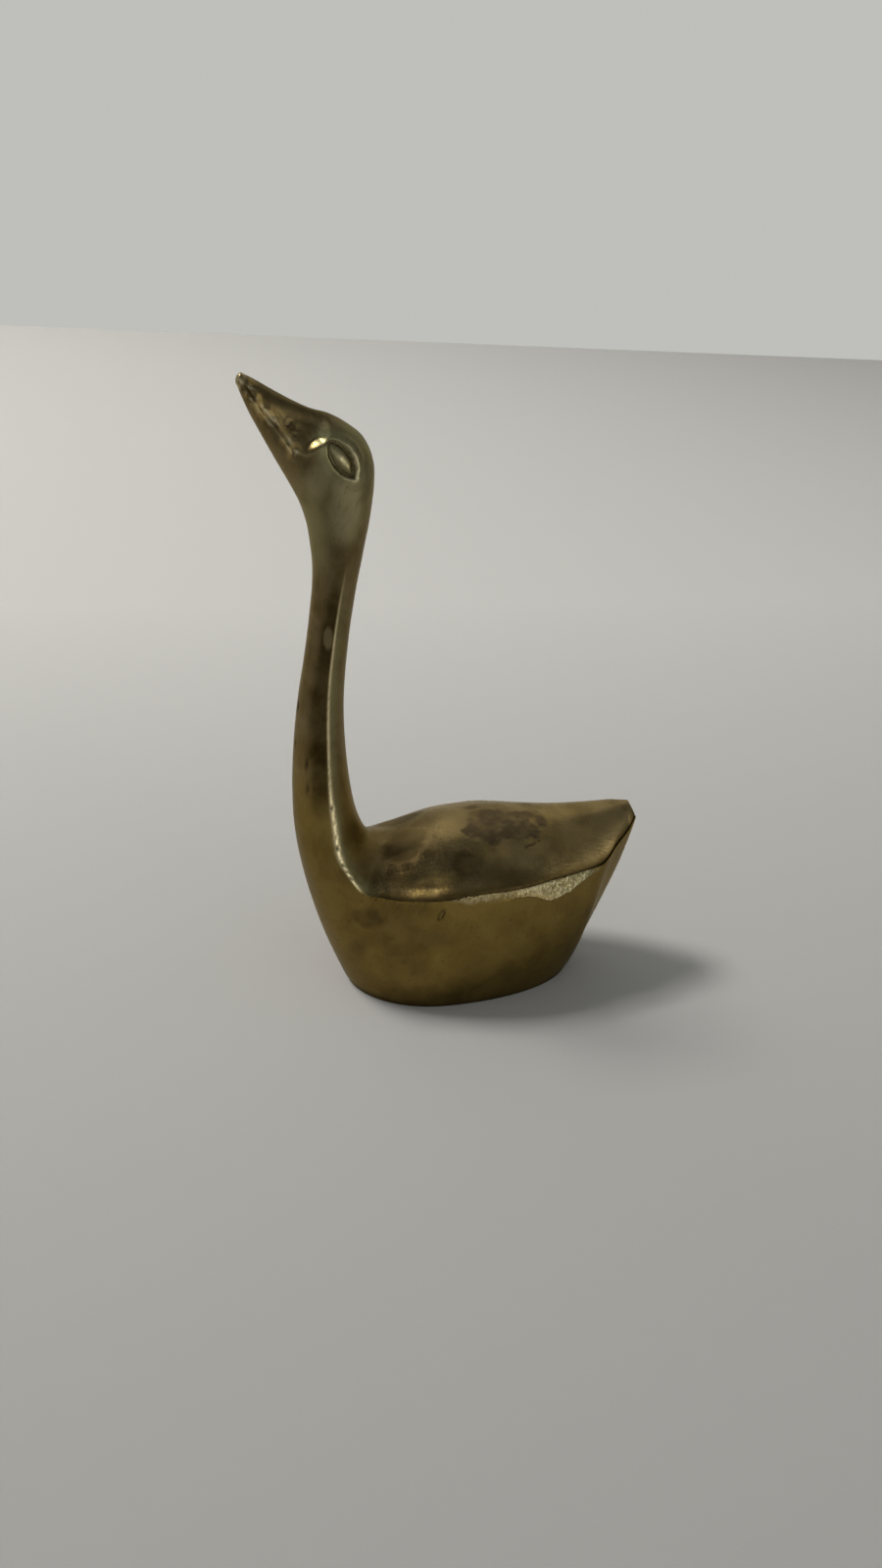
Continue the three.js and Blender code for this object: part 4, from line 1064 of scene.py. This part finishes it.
# Tarnished metal: the painted attributes say where each tone lies, painted shade, dark reflections and
# highlights among them
def agedBrass(name, tone):
    mat = bpy.data.materials.new(name)
    mat.use_nodes = True
    tree = mat.node_tree
    tree.nodes.clear()
    add, link = tree.nodes.new, tree.links.new
    combine, ramp, mix = partial(mathNode, tree), partial(rangeNode, tree), partial(mixNode, tree)
    place = add("ShaderNodeTexCoord").outputs["Object"]

    def noise(scale, detail, rough, vector, distort=0.0):
        made = add("ShaderNodeTexNoise")
        sizes = {"Scale": scale, "Detail": detail, "Roughness": rough, "Distortion": distort}
        for key, value in sizes.items():
            made.inputs[key].default_value = value
        link(vector, made.inputs["Vector"])
        return made.outputs["Fac"]

    def painted(label):
        made = add("ShaderNodeAttribute")
        made.attribute_name = label
        return made.outputs["Fac"]

    def streaks(turn, size):
        length, width = size
        mapping = add("ShaderNodeMapping")
        mapping.vector_type = "TEXTURE"
        mapping.inputs["Rotation"].default_value = (0, math.radians(turn), 0)
        mapping.inputs["Scale"].default_value = (length, width, width)
        link(place, mapping.inputs["Vector"])
        return noise(1.0, 2.0, 0.5, mapping.outputs["Vector"])

    cloud = noise(tone["cloud"], 5.0, 0.55, place, 0.4)
    mottle = noise(tone["mottle"], 4.0, 0.6, place)
    grain = noise(tone["grainScale"], 3.0, 0.6, place)
    specks = noise(tone["speckScale"], 2.0, 0.5, place)
    strokes = streaks(tone["strokeTurn"], tone["strokeSize"])
    scuffs = streaks(tone["scuffTurn"], tone["scuffSize"])
    clouded = ramp(cloud, 0.36, 0.66)

    colour = mix(clouded, tone["hullDark"], tone["hullMid"])
    colour = mix(painted("neckTone"), colour, mix(clouded, tone["neckDark"], tone["neckMid"]))
    colour = mix(painted("backTone"), colour, mix(clouded, tone["backDark"], tone["backMid"]))
    colour = mix(ramp(mottle, 0.54, 0.76, 0.0, tone["mottleShare"]), colour, tone["fleck"])
    colour = mix(ramp(scuffs, 0.5, 0.72, 0.0, tone["mottleShare"]), colour, tone["fleck"])
    # painted layers, each broken up by a noise: its range, and the layer's share at both ends
    # the darker layer is partly painted shade and dark reflections, the warm and wear layers partly painted
    # highlights, and grime partly painted shade
    layers = {"tarnishAndShade": (cloud, 0.25, 0.6, 1.0, 0.65), "warmAndHighlight": (mottle, 0.3, 0.6, 0.3, 0.9),
              "stain": (mottle, 0.3, 0.6, 0.5, 1.0), "green": (cloud, 0.3, 0.6, 0.4, 0.9)}
    for label, broken in layers.items():
        colour = mix(combine("MULTIPLY", painted(label), ramp(*broken)), colour, tone[label])
    filed = painted("filed")
    struck = combine("MULTIPLY", filed, ramp(strokes, 0.52, 0.64, 0.0, 0.85))
    wearAndHighlight = combine("MAXIMUM", painted("wearAndHighlight"), struck)
    wearAndHighlight = combine("MULTIPLY", wearAndHighlight, ramp(strokes, 0.3, 0.5, 0.5, 1.0))
    colour = mix(wearAndHighlight, colour, tone["bright"])
    grimeAndShade = combine("MULTIPLY", painted("grimeAndShade"), ramp(mottle, 0.25, 0.6, 0.75, 1.0))
    grimeAndShade = combine("MAXIMUM", grimeAndShade, ramp(specks, 0.66, 0.74, 0.0, tone["specks"]))
    colour = mix(grimeAndShade, colour, tone["grimeAndShade"])

    shader = add("ShaderNodeBsdfPrincipled")
    shader.inputs["Metallic"].default_value = 1.0
    shader.inputs["Specular Tint"].default_value = (*tone["edgeTint"], 1)
    link(colour, shader.inputs["Base Color"])
    rough = ramp(cloud, 0.3, 0.7, *tone["rough"])
    rougher = [(painted("neckTone"), -0.02), (painted("stain"), 0.12), (grimeAndShade, 0.2), (filed, 0.06),
               (ramp(painted("tarnishAndShade"), 0.6, 1.0), tone["dullRough"])]
    for share, amount in rougher:
        rough = combine("ADD", rough, combine("MULTIPLY", share, amount))
    rough = combine("ADD", rough, ramp(grain, 0.35, 0.7, -0.04, 0.05))
    link(rough, shader.inputs["Roughness"])

    height = combine("MULTIPLY", grain, tone["grain"])
    height = combine("ADD", height, combine("MULTIPLY", scuffs, tone["scuff"]))
    height = combine("SUBTRACT", height, ramp(specks, 0.62, 0.74, 0.0, tone["specks"]))
    height = combine("ADD", height, combine("MULTIPLY", combine("MULTIPLY", strokes, filed), tone["stroke"]))
    bump = add("ShaderNodeBump")
    bump.inputs["Strength"].default_value = tone["bump"]
    bump.inputs["Distance"].default_value = tone["bumpDepth"]
    link(height, bump.inputs["Height"])
    link(bump.outputs["Normal"], shader.inputs["Normal"])
    link(shader.outputs["BSDF"], add("ShaderNodeOutputMaterial").inputs["Surface"])
    return mat


# Tones of the tarnished metal, as linear colours; scales are per metre and sizes in metres
brass = {
    "hullDark": (0.205, 0.137, 0.035), "hullMid": (0.265, 0.183, 0.05),
    "neckDark": (0.145, 0.105, 0.044), "neckMid": (0.20, 0.15, 0.072),
    "backDark": (0.21, 0.148, 0.062), "backMid": (0.31, 0.225, 0.10),
    # the darkest tarnish tone, the warm tone, the bright tone and the grime tone also carry painted shade,
    # dark reflections and highlights
    "fleck": (0.30, 0.21, 0.07), "tarnishAndShade": (0.085, 0.058, 0.022), "warmAndHighlight": (0.60, 0.41, 0.14),
    "stain": (0.125, 0.088, 0.045), "green": (0.27, 0.25, 0.125), "bright": (0.80, 0.68, 0.40),
    "grimeAndShade": (0.05, 0.034, 0.015), "edgeTint": (0.82, 0.78, 0.68),
    "cloud": 150.0, "mottle": 420.0, "mottleShare": 0.25, "grainScale": 2200.0, "speckScale": 1300.0,
    "strokeTurn": -66.0, "strokeSize": (0.0024, 0.00045), "scuffTurn": -78.0, "scuffSize": (0.0022, 0.0004),
    "rough": (0.33, 0.41), "dullRough": 0.0, "specks": 0.5,
    "scuff": 2.4, "stroke": 14.0, "grain": 0.28, "bump": 0.6, "bumpDepth": 0.00003,
}
hullBrass = agedBrass("hullBrass", brass)
# the neck's darker tone for darker places serves the painted dark reflections on its front and forehead
neckBrass = agedBrass("neckBrass", {**brass, "scuffTurn": -88.0, "scuff": 0.8, "grain": 0.12, "specks": 0.25,
                                    "tarnishAndShade": (0.045, 0.028, 0.007)})
backBrass = agedBrass("backBrass", {**brass, "rough": (0.25, 0.32), "scuffTurn": 12.0, "scuff": 1.2,
                                    "grain": 0.14, "specks": 0.25, "dullRough": 0.26})
eyeBrass = agedBrass("eyeBrass", {**brass, "scuff": 0.6, "grain": 0.12, "specks": 0.25})

# Burrs that the file left on the bevel
strokeLook = {"Density": 4.0e6, "Length": 0.0008, "Width": 0.00024, "Height": 0.00003, "Seed": 7}


def fileStrokes(source, material):
    tree = bpy.data.node_groups.new("fileStrokes", "GeometryNodeTree")
    face = tree.interface
    face.new_socket("Geometry", in_out="INPUT", socket_type="NodeSocketGeometry")
    for label in ("Density", "Length", "Width", "Height"):
        face.new_socket(label, in_out="INPUT", socket_type="NodeSocketFloat")
    face.new_socket("Seed", in_out="INPUT", socket_type="NodeSocketInt")
    face.new_socket("Material", in_out="INPUT", socket_type="NodeSocketMaterial")
    face.new_socket("Geometry", in_out="OUTPUT", socket_type="NodeSocketGeometry")
    add, link = tree.nodes.new, tree.links.new
    given, result = add("NodeGroupInput"), add("NodeGroupOutput")

    share = add("GeometryNodeInputNamedAttribute")
    share.data_type = "FLOAT"
    share.inputs["Name"].default_value = "burr"
    density = add("ShaderNodeMath")
    density.operation = "MULTIPLY"
    link(share.outputs["Attribute"], density.inputs[0])
    link(given.outputs["Density"], density.inputs[1])
    scatter = add("GeometryNodeDistributePointsOnFaces")
    link(given.outputs["Geometry"], scatter.inputs["Mesh"])
    link(density.outputs[0], scatter.inputs["Density"])
    link(given.outputs["Seed"], scatter.inputs["Seed"])

    # strokes lean rearward as they rise
    sway = add("FunctionNodeRandomValue")
    sway.data_type = "FLOAT_VECTOR"
    vectors = [s for s in sway.inputs if s.type == "VECTOR"]
    vectors[0].default_value, vectors[1].default_value = (0.2, 0.0, 0.9), (0.6, 0.0, 1.0)
    link(given.outputs["Seed"], sway.inputs["Seed"])
    align = add("FunctionNodeAlignRotationToVector")
    align.axis, align.pivot_axis = "X", "Z"
    link(scatter.outputs["Rotation"], align.inputs["Rotation"])
    link([s for s in sway.outputs if s.type == "VECTOR"][0], align.inputs["Vector"])

    # shares of the length, from the shortest to the longest
    spread = add("FunctionNodeRandomValue")
    spread.data_type = "FLOAT"
    floats = [s for s in spread.inputs if s.type == "VALUE"]
    floats[0].default_value, floats[1].default_value = 0.35, 1.3
    link(given.outputs["Seed"], spread.inputs["Seed"])
    longer = add("ShaderNodeMath")
    longer.operation = "MULTIPLY"
    link(given.outputs["Length"], longer.inputs[0])
    link([s for s in spread.outputs if s.type == "VALUE"][0], longer.inputs[1])
    size = add("ShaderNodeCombineXYZ")
    link(longer.outputs[0], size.inputs["X"])
    link(given.outputs["Width"], size.inputs["Y"])
    link(given.outputs["Height"], size.inputs["Z"])

    burr = add("GeometryNodeMeshIcoSphere")
    burr.inputs["Radius"].default_value = 0.5
    burr.inputs["Subdivisions"].default_value = 1
    place = add("GeometryNodeInstanceOnPoints")
    link(scatter.outputs["Points"], place.inputs["Points"])
    link(burr.outputs["Mesh"], place.inputs["Instance"])
    link(align.outputs["Rotation"], place.inputs["Rotation"])
    link(size.outputs["Vector"], place.inputs["Scale"])
    real, dress = add("GeometryNodeRealizeInstances"), add("GeometryNodeSetMaterial")
    link(place.outputs["Instances"], real.inputs["Geometry"])
    link(real.outputs["Geometry"], dress.inputs["Geometry"])
    link(given.outputs["Material"], dress.inputs["Material"])
    link(dress.outputs["Geometry"], result.inputs["Geometry"])

    carrier = bpy.data.objects.new("strokeCarrier", source.data.copy())
    bpy.context.scene.collection.objects.link(carrier)
    modifier = carrier.modifiers.new("strokes", "NODES")
    modifier.node_group = tree
    values = {**strokeLook, "Material": material}
    for item in face.items_tree:
        if item.in_out == "INPUT" and item.name in values:
            modifier[item.identifier] = values[item.name]
    view = bpy.context.evaluated_depsgraph_get()
    mesh = bpy.data.meshes.new_from_object(carrier.evaluated_get(view))
    spent = carrier.data
    bpy.data.objects.remove(carrier)
    bpy.data.meshes.remove(spent)
    mesh.name = "fileStrokes"
    made = bpy.data.objects.new("fileStrokes", mesh)
    bpy.context.scene.collection.objects.link(made)
    return made


burrLook = {
    "dark": (0.2, 0.15, 0.06), "bright": (0.7, 0.6, 0.34), "turn": (0.38, 0.62),
    "scale": 900.0, "rough": 0.32,
}


def burrBrass():
    mat = plainMaterial("burrBrass", burrLook["bright"], burrLook["rough"])
    tree = mat.node_tree
    shader = tree.nodes["Principled BSDF"]
    shader.inputs["Metallic"].default_value = 1.0
    speck = tree.nodes.new("ShaderNodeTexNoise")
    speck.inputs["Scale"].default_value = burrLook["scale"]
    tree.links.new(tree.nodes.new("ShaderNodeTexCoord").outputs["Object"], speck.inputs["Vector"])
    tones = tree.nodes.new("ShaderNodeValToRGB")
    for element, position, tone in zip(tones.color_ramp.elements, burrLook["turn"], ("dark", "bright")):
        element.position = position
        element.color = (*burrLook[tone], 1)
    tree.links.new(speck.outputs["Fac"], tones.inputs["Fac"])
    tree.links.new(tones.outputs["Color"], shader.inputs["Base Color"])
    return mat


def dressed(piece, material, slot, *nodes):
    if material:
        piece.data.materials.append(material)
    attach(piece, "root")
    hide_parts(*nodes)
    print(piece.name + ":", len(piece.data.polygons), "faces")


hullCasting = buildHull()
dressed(buildNeck(), neckBrass, "neck_brass", "neck")
dressed(hullCasting, hullBrass, "hull_brass", "hull")
dressed(buildBack(), backBrass, "back_brass", "back")
dressed(buildEye("leftEye", left), eyeBrass, "eye_brass", "left_eye")
dressed(buildEye("rightEye", right), eyeBrass, "eye_brass", "right_eye")
dressed(fileStrokes(hullCasting, burrBrass()), None, "hull_brass", "hull")

# Studio: pale table and wall, one square ceiling panel, a soft window panel, a dimmer room round the camera
studio = {
    "table": (0.64, 0.622, 0.593), "tableNearShade": (0.37, 0.36, 0.345),
    "tableFade": (-0.16, 0.25), "tableRough": 0.85,
    "wall": (0.52, 0.525, 0.495), "wallRough": 0.7, "wallAt": 1.12, "far": 6.0,
    "panelPlace": (-1.2, 0.42, 2.0), "panelSize": (0.58, 0.58), "panelPower": 41.5,
    "windowPlace": (0.62, -0.77, 0.2), "windowSize": (0.5, 0.25), "windowPower": 0.7,
    "panelColor": (1.0, 0.98, 0.95), "windowColor": (1.0, 1.0, 0.96),
    # outlines, on the table, of what only the metal shows
    "dimFront": [(-0.005, -0.195), (-0.005, -0.262), (-0.05, -0.3), (-0.215, -0.305), (-0.27, -0.265),
                 (-0.42, -0.225), (-0.42, -0.12), (-0.25, -0.165)],
    "dimLeft": [(-0.34, -0.6), (-0.34, 0.8), (-3.0, 0.8), (-3.0, -0.6)],
    "dimFrontTone": 0.03, "dimLeftTone": 0.12, "dimTint": (1.0, 0.9, 0.8),
    "dimRough": 0.9, "dimLift": 0.0005,
    # room: the even light, and what the metal shows by height and by side, with where it changes
    "ambient": 0.33, "horizon": 0.62, "zenith": 0.42, "zenithFade": (0.0, 0.9),
    "tailward": 0.48, "tailFade": (0.42, 0.78), "overhead": 0.25, "overheadFade": (0.25, 0.55),
    "nearFade": (-0.12, 0.25), "rearShare": 0.52, "rearFade": (0.1, 0.55), "roomColor": (0.95, 1.0, 1.02),
}


def stagePlane(name, corners, material):
    mesh = bpy.data.meshes.new(name)
    mesh.from_pydata(corners, [], [tuple(range(len(corners)))])
    mesh.materials.append(material)
    made = bpy.data.objects.new(name, mesh)
    bpy.context.scene.collection.objects.link(made)
    return made


# The table is painted a little darker towards the viewer, a painted shadow
def tableMaterial():
    mat = plainMaterial("paleTable", studio["table"], studio["tableRough"])
    tree = mat.node_tree
    split = tree.nodes.new("ShaderNodeSeparateXYZ")
    tree.links.new(tree.nodes.new("ShaderNodeTexCoord").outputs["Object"], split.inputs["Vector"])
    fade = rangeNode(tree, split.outputs["Y"], *studio["tableFade"], kind="LINEAR")
    tone = mixNode(tree, fade, studio["tableNearShade"], studio["table"])
    tree.links.new(tone, tree.nodes["Principled BSDF"].inputs["Base Color"])
    return mat


# The wall shows one even pale tone to the eye and in the metal
def wallMaterial():
    mat = plainMaterial("paleWall", studio["wall"], studio["wallRough"])
    tree = mat.node_tree
    add, link = tree.nodes.new, tree.links.new
    path, blend, glow = (add("ShaderNode" + kind) for kind in ("LightPath", "MixShader", "Emission"))
    seen = mathNode(tree, "MAXIMUM", path.outputs["Is Camera Ray"], path.outputs["Is Glossy Ray"])
    glow.inputs["Color"].default_value = (*studio["wall"], 1)
    link(seen, blend.inputs["Fac"])
    link(tree.nodes["Principled BSDF"].outputs["BSDF"], blend.inputs[1])
    link(glow.outputs["Emission"], blend.inputs[2])
    link(blend.outputs["Shader"], tree.nodes["Material Output"].inputs["Surface"])
    return mat


def buildStudio():
    far, wallY = studio["far"], studio["wallAt"]
    ground = [(-far, -far, 0), (far, -far, 0), (far, wallY, 0), (-far, wallY, 0)]
    upright = [(-far, wallY, 0), (far, wallY, 0), (far, wallY, far), (-far, wallY, far)]
    stagePlane("table", ground, tableMaterial())
    stagePlane("wall", upright, wallMaterial())
    # dim places on the table that only the metal shows, as reflections
    for name in ("dimFront", "dimLeft"):
        tone = tuple(studio[name + "Tone"] * share for share in studio["dimTint"])
        outline = [(x, y, studio["dimLift"]) for x, y in studio[name]]
        dim = stagePlane(name, outline, plainMaterial(name, tone, studio["dimRough"]))
        dim.visible_camera = dim.visible_diffuse = dim.visible_shadow = False

    for name in ("panel", "window"):
        lamp = bpy.data.lights.new(name, "AREA")
        lamp.shape = "RECTANGLE"
        lamp.size, lamp.size_y = studio[name + "Size"]
        lamp.energy, lamp.color = studio[name + "Power"], studio[name + "Color"]
        made = bpy.data.objects.new(name, lamp)
        made.location = studio[name + "Place"]
        if name == "window":
            made.rotation_euler = Vector(studio["windowPlace"]).to_track_quat("Z", "Y").to_euler()
        bpy.context.scene.collection.objects.link(made)
    roomWorld()


# Even ambient light; the metal shows a room that is dim overhead on the camera's side and past the tail
def roomWorld():
    world = bpy.data.worlds.new("room")
    bpy.context.scene.world = world
    world.use_nodes = True
    tree = world.node_tree
    tree.nodes.clear()
    add, link = tree.nodes.new, tree.links.new
    combine = partial(mathNode, tree)
    split = add("ShaderNodeSeparateXYZ")
    link(add("ShaderNodeTexCoord").outputs["Generated"], split.inputs["Vector"])

    def fade(axis, span, start, end):
        return rangeNode(tree, split.outputs[axis], *span, start, end)

    room = combine("MULTIPLY", fade("Z", studio["zenithFade"], studio["horizon"], studio["zenith"]),
                   fade("X", studio["tailFade"], 1.0, studio["tailward"]))
    dim = combine("MULTIPLY", fade("Z", studio["overheadFade"], 0.0, 1.0 - studio["overhead"]),
                  fade("Y", studio["nearFade"], 1.0, 0.0))
    dim = combine("MULTIPLY", dim, fade("X", studio["rearFade"], 1.0, studio["rearShare"]))
    room = combine("MULTIPLY", room, combine("SUBTRACT", 1.0, dim))
    shown = add("ShaderNodeLightPath").outputs["Is Glossy Ray"]
    level = combine("ADD", combine("MULTIPLY", room, shown),
                    combine("MULTIPLY", combine("SUBTRACT", 1.0, shown), studio["ambient"]))
    back = add("ShaderNodeBackground")
    back.inputs["Color"].default_value = (*studio["roomColor"], 1)
    link(level, back.inputs["Strength"])
    link(back.outputs["Background"], add("ShaderNodeOutputWorld").inputs["Surface"])


# Camera at the photograph's place: degrees and millimetres
viewpoint = {
    "yaw": 14.0, "pitch": 27.0, "roll": 4.0, "place": (-58.63, -208.43, 155.29), "lens": 27.05, "sensor": 36,
    "nearest": 10,
}


def buildCamera():
    yaw, pitch, roll = (math.radians(viewpoint[k]) for k in ("yaw", "pitch", "roll"))
    back = Vector((-math.sin(yaw) * math.cos(pitch), -math.cos(yaw) * math.cos(pitch), math.sin(pitch)))
    across = (-back).cross(Vector((0, 0, 1))).normalized()
    up = back.cross(across)
    acrossTurned = across * math.cos(roll) + up * math.sin(roll)
    upTurned = up * math.cos(roll) - across * math.sin(roll)
    data = bpy.data.cameras.new("camera")
    data.lens = viewpoint["lens"]
    data.sensor_width = viewpoint["sensor"]
    data.clip_start = viewpoint["nearest"] * mm
    made = bpy.data.objects.new("camera", data)
    bpy.context.scene.collection.objects.link(made)
    pose = Matrix((acrossTurned, upTurned, back)).transposed().to_4x4()
    pose.translation = Vector(viewpoint["place"]) * mm
    made.matrix_world = pose
    bpy.context.scene.camera = made


buildStudio()
buildCamera()
bpy.context.scene.view_settings.view_transform = "Standard"
print("studio and camera set")
